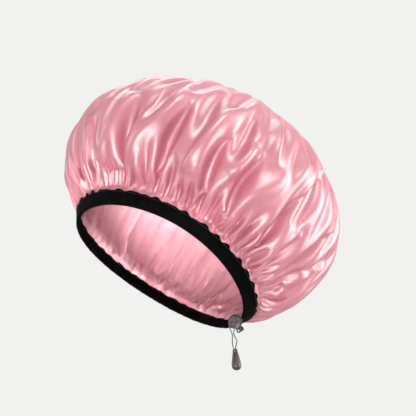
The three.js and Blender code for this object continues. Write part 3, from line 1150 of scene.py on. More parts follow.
class Layer:
    """Round of cloth: where each point is on the cut, and its even base shape on the cap."""

    profile_points: int = 800
    probe_step: float = 0.6 * MM
    probe_angle: float = 0.002
    pole_fade: float = 0.04
    least_span: float = 0.5 * MM

    def __init__(self, form: CapForm, plan: CutPlan, sewn_out: float) -> None:
        """Lay out the points and the faces.

        Args:
            form: the cap's driving sizes.
            plan: how the cloth is divided.
            sewn_out: where the sewn edge lies across the ribbon.
        """
        self.form, self.sewn_out = form, sewn_out
        self.line = form.profile(self.profile_points)
        self.total = float(self.line[2][-1])
        self.ring_list = plan.rings(self.total)
        self.ring_rises = np.array([rise for rise, _ in self.ring_list])
        counts = [columns for _, columns in self.ring_list]
        self.starts = np.concatenate([[0], np.cumsum(counts)])
        self.rise = np.concatenate([np.full(n, s) for s, n in self.ring_list] + [[self.total]])
        self.turn = np.concatenate([np.arange(n) * TURN / n for n in counts] + [[0.0]])
        self.level = np.interp(np.clip(self.rise, 0, None), self.line[2], self.line[1])
        self.base = self.on_base(self.rise, self.turn)
        upwards = self._direction(self.probe_step, 0.0)
        around = self._direction(0.0, self.probe_angle)
        self.normal = np.cross(around, upwards)
        self.normal[-1] = form.leaned(0, 0, 1)

    @property
    def from_pole(self) -> np.ndarray:
        """Distance of each point from the crown's pole along the cloth."""
        return self.rise[-1] - self.rise

    def on_base(self, rise: np.ndarray, turn: np.ndarray) -> np.ndarray:
        """Places on the even base shape, with the sewn edge between the ribbon's sides.

        Args:
            rise: distance up the cloth from the seam.
            turn: angle about the cap's axis.

        Returns:
            Points of the row frame, in the last axis.
        """
        radius, level, along = self.line
        above = np.clip(rise, 0, None)
        puff = self.form.settle(np.interp(above, along, radius), turn, np.interp(above, along, level))
        sewn = self.form.rim(turn, self.form.band_width + np.clip(rise, None, 0), self.sewn_out)
        return np.where((rise <= 0)[..., None], sewn, puff)

    def _direction(self, climb: float, angle: float) -> np.ndarray:
        """Unit direction along the base that a small climb and a small turn lead to.

        Args:
            climb: the climb, in metres.
            angle: the turn.

        Returns:
            The direction at each point.
        """
        rise = np.clip(np.minimum(self.rise, self.total - 2 * self.probe_step), self.probe_step, None)
        ahead = self.on_base(rise + climb, self.turn + angle)
        behind = self.on_base(rise - climb, self.turn - angle)
        way = ahead - behind
        return way / np.maximum(np.linalg.norm(way, axis=1, keepdims=True), TINY)

    def faces(self) -> list[tuple[int, ...]]:
        """Faces between the rings; where a ring has half the points, triangles close the step.

        Returns:
            The faces, each as numbers of its points.
        """
        made: list[tuple[int, ...]] = []
        for (_, low), (_, high), a, b in zip(
            self.ring_list, self.ring_list[1:], self.starts, self.starts[1:]
        ):
            i = np.arange(high)
            after = (i + 1) % high
            if low == high:
                made += zip(a + i, a + after, b + after, b + i)
                continue
            left, middle, right = a + 2 * i, a + 2 * i + 1, a + (2 * i + 2) % low
            made += zip(left, middle, b + i)
            made += zip(middle, b + after, b + i)
            made += zip(middle, right, b + after)
        i = np.arange(self.ring_list[-1][1])
        last = self.starts[-2]
        made += zip(last + i, last + (i + 1) % len(i), np.full(len(i), len(self.rise) - 1))
        return [tuple(int(k) for k in face) for face in made]

    def cut_uv(self) -> np.ndarray:
        """Place of each point on the flat round of cloth, in metres from its middle."""
        radius = self.total - self.rise
        return np.stack([radius * np.cos(self.turn), radius * np.sin(self.turn)], axis=-1)

    def mesh(self, name: str, points: np.ndarray) -> bpy.types.Object:
        """Make the layer's object.

        Args:
            name: the piece's name.
            points: places of its points.

        Returns:
            The object, with the flat cut as its UV map.
        """
        mesh = bpy.data.meshes.new(name)
        mesh.from_pydata(points.tolist(), [], self.faces())
        corner = np.empty(len(mesh.loops), np.int32)
        mesh.loops.foreach_get("vertex_index", corner)
        uv = mesh.uv_layers.new(name="cut")
        uv.data.foreach_set("uv", self.cut_uv()[corner].reshape(-1).astype(np.float32))
        obj = bpy.data.objects.new(name, mesh)
        bpy.context.collection.objects.link(obj)
        shade(obj)
        return obj

    def stand(self, points: np.ndarray) -> np.ndarray:
        """How far this layer's points stand out from its own base."""
        return ((points - self.base) * self.normal).sum(axis=1)

    def stand_of(self, other: "Layer", points: np.ndarray) -> np.ndarray:
        """How far another layer's points stand out from this layer's base."""
        base = self.on_base(other.rise, other.turn)
        return ((points - base) * other.normal).sum(axis=1)

    def rings_of(self, values: np.ndarray) -> list[np.ndarray]:
        """Split values by ring, without the pole."""
        return [values[a:b] for a, b in zip(self.starts, self.starts[1:])]

    def sampled(self, other: "Layer", values: np.ndarray) -> np.ndarray:
        """Read another layer's values at this layer's points.

        Args:
            other: the layer that has the values.
            values: one value at each of its points.

        Returns:
            One value at each of this layer's points.
        """
        rises = other.ring_rises
        source = other.rings_of(values)
        read = []
        for rise, columns in self.ring_list:
            place = np.clip(np.interp(rise, rises, np.arange(len(rises))), 0, len(rises) - 1)
            low = int(place)
            high = min(low + 1, len(rises) - 1)
            turns = np.arange(columns) / columns
            below, above = read_ring(source[low], turns), read_ring(source[high], turns)
            read.append(below + (above - below) * (place - low))
        return np.concatenate([*read, [values[-1]]])

    def lowest_near(self, values: np.ndarray, reach: float = 5 * MM) -> np.ndarray:
        """Lowest value within a reach round the cap, and within one ring up and down.

        Args:
            values: one value at each of the layer's points.
            reach: how far to look to each side.

        Returns:
            The lowest values.
        """
        lows = []
        for ring, start in zip(self.rings_of(values), self.starts):
            span = TURN * float(np.hypot(*self.base[start][[0, 2]])) / len(ring)
            steps = min(math.ceil(reach / max(span, self.least_span)), len(ring) // 2)
            lows.append(np.min([np.roll(ring, k) for k in range(-steps, steps + 1)], axis=0))
        found = []
        for i, ring in enumerate(lows):
            turns = np.arange(len(ring)) / len(ring)
            near = [read_ring(other, turns) for other in lows[max(i - 1, 0): i + 2]]
            found.append(np.min(near, axis=0))
        return np.concatenate([*found, [values[-1]]])

    def broad_part(self, height: np.ndarray, waves: int = 3, blur: float = 0.03) -> np.ndarray:
        """The part of a height that changes slowly round the cap and up it.

        Args:
            height: the height at each point.
            waves: most waves round the cap that count as slow.
            blur: distance up the cap over which it is averaged.

        Returns:
            The slow part at each point.
        """
        rises = self.ring_rises
        terms = []
        for ring in self.rings_of(height):
            spectrum = np.fft.rfft(ring)[: waves + 1] / len(ring)
            terms.append(np.pad(spectrum, (0, waves + 1 - len(spectrum))))
        weight = np.exp(-(((rises[:, None] - rises[None, :]) / blur) ** 2))
        weight *= np.gradient(rises)[None, :]
        means = (weight / weight.sum(axis=1, keepdims=True)) @ np.array(terms)
        fades = smooth(self.total - rises, 0, self.pole_fade)
        slow = []
        for mean, fade, (_, columns) in zip(means, fades, self.ring_list):
            angle = np.arange(columns) * TURN / columns
            ring = np.full(columns, mean[0].real)
            for k in range(1, min(waves, (columns - 1) // 2) + 1):
                wave = mean[k].real * np.cos(k * angle) - mean[k].imag * np.sin(k * angle)
                ring += 2 * fade * wave
            slow.append(ring)
        return np.concatenate([*slow, [means[-1][0].real]])


@dataclass(frozen=True)
class GatherPass:
    """Cloth simulation: a wide dome of cloth is drawn in to the band and swells against the puff.

    The simulation runs at ten times the size, where the solver works best.
    """

    dome_radius: float = 0.152
    dome_power: float = 14
    dome_steps: int = 2000
    pole_reach: float = 1e-6
    taut: float = 0.95
    enlarge: float = 10
    frames: int = 22
    gather_frames: int = 14
    quality: int = 5
    mass: float = 0.3
    stretch: float = 15
    shear: float = 5
    damping: float = 5
    bending: float = 12
    crown_bending: float = 60
    supple_reach: float = 0.01
    stiff_reach: float = 0.04
    pressure: float = 1.0
    hold: float = 5
    crown_hold: float = 0.15
    seam_hold: float = 0.4
    seam_reach: float = 0.012
    hold_steps: int = 200

    def dome_radius_at(self, distance: np.ndarray) -> np.ndarray:
        """Dome's radius at a distance from the pole.

        Args:
            distance: the distances, along the cloth.

        Returns:
            The radii.
        """
        near = np.maximum(distance, self.pole_reach)
        drawn = near ** -self.dome_power + self.dome_radius ** -self.dome_power
        return np.where(distance > self.pole_reach, drawn ** (-1 / self.dome_power), 0)

    def dome(self, layer: Layer) -> np.ndarray:
        """Places of the cloth before it is gathered: its cut, bent over into a dome.

        Args:
            layer: the layer.

        Returns:
            Points of the row frame, in the last axis.
        """
        distance = layer.total - layer.rise
        along = np.linspace(0, distance.max(), self.dome_steps)
        lengths = np.diff(along) * self.taut
        widening = np.diff(self.dome_radius_at(along))
        drop = np.sqrt(np.maximum(lengths ** 2 - widening ** 2, 0))
        level = layer.form.crown_top - np.concatenate([[0], np.cumsum(drop)])
        flat = self.dome_radius_at(distance)
        x, y = flat * np.cos(layer.turn), flat * np.sin(layer.turn)
        return layer.form.leaned(x, y, np.interp(distance, along, level))

    def run(self, layer: Layer, target: np.ndarray) -> np.ndarray:
        """Gather the cloth.

        Args:
            layer: the layer.
            target: the shape that the cloth is drawn towards, loosely above the seam.

        Returns:
            Places of the layer's points.
        """
        scene = bpy.context.scene
        cloth = layer.mesh("gathering", self.dome(layer) * self.enlarge)
        cloth.shape_key_add(name="cut")
        drawn = cloth.shape_key_add(name="gathered")
        drawn.data.foreach_set("co", (target * self.enlarge).reshape(-1).astype(np.float32))
        for frame_number, value in ((1, 0.0), (self.gather_frames, 1.0)):
            drawn.value = value
            drawn.keyframe_insert("value", frame=frame_number)
        fade = np.exp(-np.clip(layer.rise, 0, None) / self.seam_reach)
        held = self.crown_hold + (self.seam_hold - self.crown_hold) * fade
        held[layer.rise <= 0] = 1
        self.weigh(cloth, "hold", held)
        self.weigh(cloth, "stiff", smooth(layer.rise, self.supple_reach, self.stiff_reach))
        modifier = cloth.modifiers.new("cloth", "CLOTH")
        modifier.point_cache.frame_start, modifier.point_cache.frame_end = 1, self.frames
        self.set_up(modifier)
        scene.frame_start, scene.frame_end = 1, self.frames
        for frame_number in range(1, self.frames + 1):
            scene.frame_set(frame_number)
        settled = cloth.evaluated_get(bpy.context.evaluated_depsgraph_get()).to_mesh()
        points = np.empty(len(layer.rise) * 3, np.float32)
        settled.vertices.foreach_get("co", points)
        mesh, action = cloth.data, cloth.data.shape_keys.animation_data.action
        bpy.data.objects.remove(cloth)
        bpy.data.meshes.remove(mesh)
        bpy.data.actions.remove(action)
        scene.frame_set(1)
        return points.reshape(-1, 3).astype(float) / self.enlarge

    def weigh(self, cloth: bpy.types.Object, name: str, weights: np.ndarray) -> None:
        """Give the cloth a vertex group.

        Args:
            cloth: the cloth.
            name: the group's name.
            weights: weight of each point, from 0 to 1, which is rounded to small steps.
        """
        steps = np.round(weights * self.hold_steps).astype(int)
        group = cloth.vertex_groups.new(name=name)
        for step in np.unique(steps):
            group.add(np.nonzero(steps == step)[0].tolist(), step / self.hold_steps, "REPLACE")

    def set_up(self, modifier: bpy.types.ClothModifier) -> None:
        """Set the cloth's stuff and forces.

        Args:
            modifier: the cloth modifier.
        """
        modifier.collision_settings.use_collision = False
        cloth = modifier.settings
        cloth.quality, cloth.mass = self.quality, self.mass
        cloth.tension_stiffness = cloth.compression_stiffness = self.stretch
        cloth.shear_stiffness, cloth.bending_stiffness = self.shear, self.bending
        cloth.tension_damping = cloth.compression_damping = cloth.shear_damping = self.damping
        cloth.effector_weights.gravity = 0
        cloth.vertex_group_mass = "hold"
        cloth.vertex_group_bending = "stiff"
        cloth.bending_stiffness_max = self.crown_bending
        cloth.pin_stiffness = self.hold
        cloth.use_pressure = True
        cloth.uniform_pressure_force = self.pressure


OUTER_PLEATS = (
    Pleats(118, 0.9 * MM, 0.002, 0.004, 0.010, 0.6, 0.0, 3),
    Pleats(62, 4.4 * MM, 0.006, 0.018, 0.045, 0.8, 0.6, 5),
    Pleats(34, 4.2 * MM, 0.012, 0.04, 0.1, 0.9, 1.2, 8),
    Pleats(21, 2.6 * MM, 0.03, 0.08, 0.2, 0.8, 2.0, 13),
)

OUTER_PASS = GatherPass()

LINING_PLEATS = (
    Pleats(96, 1.3 * MM, 0.003, 0.06, 0.2, 0.5, 0.3, 6),
    Pleats(36, 4.2 * MM, 0.006, 0.12, 0.28, 0.6, 0.4, 9),
)

LINING_FORM = CapForm(
    puff_radius=0.121, skirt_drop=0.1, skirt_power=2.1, crown_rise=0.082, puff_forward=0.006
)

LINING_PLAN = CutPlan(
    zones=(
        (0.03, 576, 0.0017), (0.2, 288, 0.003), (0.235, 144, 0.004), (0.255, 72, 0.005), (1.0, 36, 0.006),
    )
)

LINING_PASS = GatherPass(
    dome_radius=0.14, crown_hold=0.32, seam_hold=0.35, seam_reach=0.02, bending=3, crown_bending=8,
    pressure=0.3,
)

FRONT_FOLDS = (
    Fold("left_edge", Crease.TUCK_LEFT, 2.6 * MM, 9 * MM,
         ((97, 184), (91, 165), (87, 145), (87, 124), (92, 107), (99, 95))),
    Fold("left_valley", Crease.TUCK_RIGHT, 2.4 * MM, 12 * MM,
         ((98, 161), (100, 143), (104, 127), (111, 111), (121, 95), (133, 84))),
    Fold("broad_left", Crease.RIDGE, 3.0 * MM, 9 * MM,
         ((115, 169), (108, 151), (108, 131), (117, 111), (128, 97), (139, 86))),
    Fold("long_crease", Crease.TUCK_RIGHT, 2.6 * MM, 11 * MM,
         ((124, 177), (127, 149), (130, 133), (138, 117), (151, 99), (167, 83))),
    Fold("bright_ribbon", Crease.RIDGE, 3.2 * MM, 7 * MM,
         ((150, 181), (140, 160), (138, 144), (146, 127), (160, 112), (178, 96), (194, 80))),
    Fold("squiggle", Crease.TUCK_LEFT, 2.8 * MM, 10 * MM,
         ((155, 191), (158, 168), (162, 152), (163, 141), (161, 134), (170, 120), (184, 105), (200, 88))),
    Fold("centre_crease", Crease.TUCK_RIGHT, 2.8 * MM, 12 * MM,
         ((179, 185), (185, 169), (191, 153), (199, 137), (211, 120), (229, 108), (247, 101))),
    Fold("centre_bright", Crease.RIDGE, 3.0 * MM, 9 * MM,
         ((192, 170), (199, 148), (212, 131), (229, 114), (242, 101))),
    Fold("dark_valley", Crease.TUCK_LEFT, 2.6 * MM, 10 * MM,
         ((193, 196), (200, 176), (207, 160), (211, 150), (224, 136), (240, 122), (254, 110))),
    Fold("bright_oval", Crease.RIDGE, 3.4 * MM, 8 * MM,
         ((231, 169), (243, 158), (255, 147), (264, 140))),
    Fold("oval_crease", Crease.TUCK_LEFT, 2.6 * MM, 9 * MM,
         ((214, 207), (220, 194), (227, 182), (236, 173), (250, 161), (262, 152))),
    Fold("upright_streak", Crease.RIDGE, 3.0 * MM, 5 * MM,
         ((279, 161), (281, 146), (281, 131), (277, 115))),
    Fold("sweep_right", Crease.RIDGE, 3.6 * MM, 9 * MM,
         ((222, 228), (234, 210), (252, 195), (274, 183), (294, 172), (312, 160))),
    Fold("right_crease", Crease.TUCK_LEFT, 3.0 * MM, 12 * MM,
         ((247, 240), (265, 229), (280, 218), (292, 206), (304, 192), (316, 178), (324, 168))),
    Fold("loop_upper", Crease.RIDGE, 2.4 * MM, 5 * MM,
         ((246, 266), (262, 256), (279, 243), (290, 233), (299, 226), (308, 228))),
    Fold("loop_lower", Crease.RIDGE, 2.0 * MM, 4 * MM,
         ((254, 270), (272, 256), (286, 246), (300, 238), (308, 232))),
    Fold("low_crease", Crease.TUCK_LEFT, 2.6 * MM, 9 * MM,
         ((259, 285), (275, 275), (293, 265), (308, 252), (322, 240), (336, 226))),
    Fold("low_right", Crease.TUCK_RIGHT, 2.6 * MM, 9 * MM,
         ((261, 299), (283, 290), (305, 279), (322, 271), (333, 260))),
    Fold("hem_right", Crease.RIDGE, 2.4 * MM, 7 * MM,
         ((261, 306), (283, 302), (303, 298), (314, 290))),
)


@dataclass(frozen=True)
class Fabric:
    """The three gathered layers: satin outside, waterproof film, and satin lining.

    The front's folds were drawn with the camera that is given. A pair of numbers says where something
    starts and stops to change: distances from the seam, or from the crown's pole where its name says
    so, and for front_facing how far the cloth faces the camera.
    """

    form: CapForm
    view: PhotoView
    cut_across: float = 0.53
    lining_across: float = 0.5
    outer_sewn_out: float = 0.7 * MM
    lining_gap: float = 3 * MM
    lining_gap_share: float = 0.3
    seam_fade: tuple[float, float] = (0, 0.02)
    nested_reach: tuple[float, float] = (0.008, 0.03)
    nested_margin: float = 0.8 * MM
    film_depth: float = 0.5 * MM
    film_seam_share: float = 0.3
    film_fade: tuple[float, float] = (0, 0.03)
    calm_waves: int = 90
    calm_blur: float = 0.012
    calm_share: float = 0.7
    calm_fade: tuple[float, float] = (0.025, 0.05)
    calm_pole_fade: tuple[float, float] = (0.03, 0.07)
    outer_mean: float = -2.2 * MM
    outer_lean: float = 2 * MM
    lean_pole_fade: tuple[float, float] = (0, 0.06)
    front_facing: tuple[float, float] = (0, 0.3)
    front_share: float = 0.8
    fold_gain: float = 1.2
    press_gain: float = 1.9
    gather_press: float = 0.7
    nape_tuck: float = 7 * MM
    nape_start: tuple[float, float] = (0.005, 0.04)
    nape_end: tuple[float, float] = (0.06, 0.12)
    lining_press: float = 2.0
    lining_blur: float = 0.012
    lining_fade: tuple[float, float] = (0, 0.008)

    def outer_shape(self, layer: Layer) -> np.ndarray:
        """Places of the outer satin's points, folded and held to the cap's outline.

        Args:
            layer: the outer layer.

        Returns:
            Points of the row frame, in the last axis.
        """
        rise = layer.rise
        front = smooth(layer.normal @ self.view.back, *self.front_facing)
        main = self.form.main_folds(layer.turn, layer.level) * (1 - self.front_share * front)
        pleats = sum(pleats.relief(layer.turn, rise) for pleats in OUTER_PLEATS)
        traced = sum(fold.relief(layer, self.view) for fold in FRONT_FOLDS)
        height = main + pleats + self.fold_gain * traced
        points = OUTER_PASS.run(layer, layer.base + layer.normal * height[:, None])
        stands = layer.stand(points)
        crumple = stands - layer.broad_part(stands, self.calm_waves, self.calm_blur)
        calm = self.calm_share * smooth(rise, *self.calm_fade)
        calm *= smooth(layer.from_pole, *self.calm_pole_fade)
        lean = self.outer_lean * np.cos(layer.turn) * smooth(layer.from_pole, *self.lean_pole_fade)
        slow = layer.broad_part(stands) - self.outer_mean - lean
        slow *= smooth(rise, *self.seam_fade)
        tuck = smooth(rise, *self.nape_start) - smooth(rise, *self.nape_end)
        slow += self.nape_tuck * np.clip(np.cos(layer.turn), 0, 1) ** 2 * tuck
        pressed = self.press_gain * (traced - layer.broad_part(traced)) * smooth(rise, *self.seam_fade)
        pressed += self.gather_press * OUTER_PLEATS[1].relief(layer.turn, rise)
        pressed -= calm * crumple
        return points + layer.normal * (pressed - slow)[:, None]

    def build(self, wardrobe: Wardrobe) -> list[bpy.types.Object]:
        """Make the layers.

        Args:
            wardrobe: gives the finishes.

        Returns:
            The pieces.
        """
        plan = CutPlan(sewn=self.form.sewn_depth)
        layer = Layer(self.form, plan, self.outer_sewn_out)
        points = self.outer_shape(layer)
        outer = layer.mesh("outer_satin", points)
        stands = layer.stand(points)
        beside = layer.lowest_near(stands, self.nested_margin)
        lowest = beside + (layer.lowest_near(stands) - beside) * smooth(layer.rise, *self.nested_reach)
        lining_layer, lining_points = self.lining_shape(layer, lowest)
        film = self.film_inside(outer, layer, points)
        lining = lining_layer.mesh("lining_satin", lining_points)
        for piece, finish, slot, node, across in (
            (outer, Finish.OUTER_SATIN, "outer_satin", "outer_shell", self.cut_across),
            (film, Finish.FILM, "film", "waterproof_film", self.cut_across),
            (lining, Finish.LINING_SATIN, "lining_satin", "inner_lining", self.lining_across),
        ):
            wardrobe.dress(piece, finish)
            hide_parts(node)
            math.pi / 4 * across ** 2
            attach(piece, "cap")
        return [outer, film, lining]

    def film_inside(self, outer: bpy.types.Object, layer: Layer, points: np.ndarray) -> bpy.types.Object:
        """Make the film: the outer satin's shape, moved in along its mesh's own normals.

        Args:
            outer: the outer satin.
            layer: its layer.
            points: places of its points.

        Returns:
            The film, whose sewn edge lies in the middle of the ribbon.
        """
        normals = np.empty(len(points) * 3, np.float32)
        outer.data.vertices.foreach_get("normal", normals)
        seam_share = self.film_seam_share
        depth = self.film_depth * (seam_share + (1 - seam_share) * smooth(layer.rise, *self.film_fade))
        inside = points - normals.reshape(-1, 3) * depth[:, None]
        sewn = layer.rise <= 0
        inside[sewn] = self.form.rim(layer.turn[sewn], self.form.band_width + layer.rise[sewn], 0)
        return layer.mesh("film_layer", inside)

    def lining_shape(self, outer: Layer, lowest: np.ndarray) -> tuple[Layer, np.ndarray]:
        """Shape the lining, with long narrow folds that stay inside the outer satin.

        Args:
            outer: the outer layer.
            lowest: how far the lowest cloth near each of its points stands out, or near the band,
                where the layers' gathers nest, the cloth itself.

        Returns:
            The lining's layer and the places of its points.
        """
        layer = Layer(LINING_FORM, LINING_PLAN, -self.outer_sewn_out)
        height = sum(pleats.relief(layer.turn, layer.rise) for pleats in LINING_PLEATS)
        points = LINING_PASS.run(layer, layer.base + layer.normal * height[:, None])
        slow = layer.broad_part(layer.stand(points), blur=self.lining_blur)
        slow *= smooth(layer.rise, *self.lining_fade)
        points = points + layer.normal * (self.lining_press * height - slow)[:, None]
        near_seam = self.lining_gap_share
        room = self.lining_gap * (near_seam + (1 - near_seam) * smooth(layer.rise, *self.seam_fade))
        limit = layer.sampled(outer, lowest) - room
        excess = np.clip(outer.stand_of(layer, points) - limit, 0, None) * (layer.rise > 0)
        return layer, points - layer.normal * excess[:, None]


# Band


@dataclass
class Band:
    """Ribbon folded over the free edge, and its stitching."""

    form: CapForm
    half: float = 1.65 * MM
    ribbon: float = 0.4 * MM
    columns: int = 720
    side_steps: int = 8
    bend_steps: int = 9
    outer_bulge: float = 0.55
    inner_bulge: float = 0.3
    edge_wave: float = 0.8 * MM
    edge_seed: int = 2
    wave_terms: int = 14
    wave_counts: tuple[int, int] = (20, 64)
    wave_scale: float = 3
    ripple: float = 0.22 * MM
    ripple_count: int = 118
    ripple_drift: float = 2.2
    ripple_seed: int = 6
    ripple_middle_share: float = 0.35
    smooth_degrees: float = 70
    stitch_length: float = 2.3 * MM
    stitch_pitch: float = 3.1 * MM
    stitch_radius: float = 0.2 * MM
    stitch_inset: float = 1.4 * MM
    stitch_lift: float = 0.12 * MM
    stitch_probe: float = 0.002
    slot_length: float = 6.4 * MM
    slot_width: float = 1.7 * MM
    slot_depth: float = 2.4 * MM
    slot_slant: float = -0.4 * MM
    slot_sides: int = 24

    def section(self) -> np.ndarray:
        """Outline of the folded ribbon, as slant and out, once round.

        Returns:
            Slant and out of each point, in the last axis.
        """
        top, inside = self.form.band_width, self.half - self.ribbon
        bend = np.linspace(0, math.pi, self.bend_steps)[1:-1]
        rise = np.linspace(0, 1, self.side_steps)
        outer_side = [(top * (1 - t), self.half) for t in rise]
        outer_bend = [
            (-self.outer_bulge * self.half * math.sin(a), self.half * math.cos(a)) for a in bend
        ]
        inner_side = [(top * t, -self.half) for t in rise]
        back_down = [(top * (1 - t), -inside) for t in rise]
        inner_bend = [(-self.inner_bulge * self.half * math.sin(a), -inside * math.cos(a)) for a in bend]
        back_up = [(top * t, inside) for t in rise]
        return np.array(outer_side + outer_bend + inner_side + back_down + inner_bend + back_up)

    def build(self, wardrobe: Wardrobe) -> list[bpy.types.Object]:
        """Make the ribbon and the stitches.

        Args:
            wardrobe: gives the finishes.

        Returns:
            The pieces.
        """
        pieces = [self.ribbon_ring(wardrobe), self.stitches(1, wardrobe), self.stitches(-1, wardrobe)]
        for piece in pieces:
            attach(piece, "cap")
        return pieces

    def waviness(self, turn: np.ndarray, seed: int) -> np.ndarray:
        """Irregular wave round the band, from about -1 to 1.

        Args:
            turn: angle about the cap's axis.
            seed: seed of its drawn counts and phases.

        Returns:
            The wave's height at each turn.
        """
        random = np.random.default_rng(seed)
        total = np.zeros_like(turn)
        for _ in range(self.wave_terms):
            waves = random.integers(*self.wave_counts)
            total += np.sin(waves * turn + random.uniform(0, TURN))
        return total / self.wave_scale

    def ribbon_ring(self, wardrobe: Wardrobe) -> bpy.types.Object:
        """Make the folded ribbon, rippled by the elastic and uneven at its sewn edge.

        Args:
            wardrobe: gives the finish.

        Returns:
            The ribbon.
        """
        slant, out = np.split(self.section(), 2, axis=1)
        turn = np.arange(self.columns)[None, :] * TURN / self.columns
        top_share = np.clip(slant / self.form.band_width, 0, 1)
        edge = top_share ** 3 * self.edge_wave * self.waviness(turn, self.edge_seed)
        ripple = np.sin(self.ripple_count * turn + self.ripple_drift * self.waviness(turn, self.ripple_seed))
        middle = self.ripple_middle_share
        depth = self.ripple * (middle + (1 - middle) * np.abs(top_share - 0.5) * 2)
        points = self.form.rim(turn, slant + edge, out + np.sign(out) * depth * ripple)
        ring = grid_sheet("ribbon_band", points, closed_section=True)
        tidy_mesh(ring, recalculate=True)
        self.cut_slot(ring)
        shade(ring, self.smooth_degrees)
        wardrobe.dress(ring, Finish.RIBBON)
        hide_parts("band_casing")
        return ring

    def cut_slot(self, ring: bpy.types.Object) -> None:
        """Cut the slot where the drawcord leaves the fold.

        Args:
            ring: the ribbon.
        """
        place = self.form.rim(self.form.slot_turn, self.slot_slant, 0)
        cutter = rod(self.slot_width / 2, self.slot_depth, (0, 0, 0), "Z", self.slot_sides)
        stretch(cutter, "y", (self.slot_length - self.slot_width) / 2, middle=-1)
        turned = (
            Matrix.Translation(Vector(place))
            @ Matrix.Rotation(self.form.worn_tilt, 4, "Y")
            @ Matrix.Rotation(self.form.slot_turn, 4, "Z")
            @ Matrix.Rotation(self.form.flare, 4, "Y")
        )
        place_in_mesh(cutter, turned)
        cut_away(ring, [cutter])

    def stitches(self, side: int, wardrobe: Wardrobe) -> bpy.types.Object:
        """Make one line of stitches.

        Args:
            side: 1 on the outside of the band, -1 on its inside.
            wardrobe: gives the finish.

        Returns:
            The stitches as one piece.
        """
        slant = self.form.band_width - self.stitch_inset
        out = side * (self.half + self.stitch_lift)
        around = TURN * self.form.section(slant, out)[0]
        count = round(around / self.stitch_pitch)
        deselect_all()
        bpy.ops.mesh.primitive_uv_sphere_add(segments=8, ring_count=6, radius=self.stitch_radius)
        first = bpy.context.object
        stretch(first, "z", self.stitch_length / 2 - self.stitch_radius)
        copies = []
        for i in range(count):
            angle = TURN * i / count
            behind, place, ahead = (
                Vector(self.form.rim(angle + probe, slant, out))
                for probe in (-self.stitch_probe, 0, self.stitch_probe)
            )
            along = (ahead - behind).to_track_quat("Z", "Y").to_matrix().to_4x4()
            copy = bpy.data.objects.new("stitch", first.data.copy())
            copy.data.transform(Matrix.Translation(place) @ along)
            bpy.context.collection.objects.link(copy)
            copies.append(copy)
        bpy.data.objects.remove(first)
        deselect_all()
        for copy in copies:
            copy.select_set(True)
        bpy.context.view_layer.objects.active = copies[0]
        bpy.ops.object.join()
        label = "outer" if side > 0 else "inner"
        row = named(bpy.context.object, f"stitches_{label}")
        shade(row)
        wardrobe.dress(row, Finish.THREAD)
        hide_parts(f"seam_thread_{label}")
        return row


# Cord lock, free cord and pull


@dataclass
class LockFrame:
    """Where the cord lock lies, how it is turned, and where the cord's two strands run in it."""

    form: CapForm
    sideways: float = -5.8 * MM
    ahead: float = -11.2 * MM
    below: float = -7.4 * MM
    lean: float = math.radians(29.7)
    roll: float = math.radians(-31)
    strand_x: float = 0.95 * MM
    strand_z: float = -0.75 * MM

    @property
    def slot(self) -> Vector:
        """The middle of the band's slot in the row frame."""
        return Vector(self.form.rim(self.form.slot_turn, 0, 0))

    @property
    def centre(self) -> Vector:
        """The lock's centre in the row frame."""
        return self.slot + Vector((self.sideways, self.ahead, self.below))

    @property
    def matrix(self) -> Matrix:
        """Move from the lock's own axes to the row frame."""
        turn = Matrix.Rotation(self.lean, 4, "X") @ Matrix.Rotation(self.roll, 4, "Y")
        return Matrix.Translation(self.centre) @ turn

    def place(self, x: float, y: float, z: float) -> np.ndarray:
        """A place in the lock's own axes, given in the row frame."""
        return np.array(self.matrix @ Vector((x, y, z)))

    def strand(self, side: int, y: float) -> np.ndarray:
        """A place on one of the two strands, y along the bore, given in the row frame."""
        return self.place(side * self.strand_x, y, self.strand_z)

    def beside(self, points: tuple[Place, ...]) -> list[np.ndarray]:
        """Places beside the lock's centre along the row's axes, given in the row frame."""
        return [np.array(self.centre) + np.array(point) for point in points]


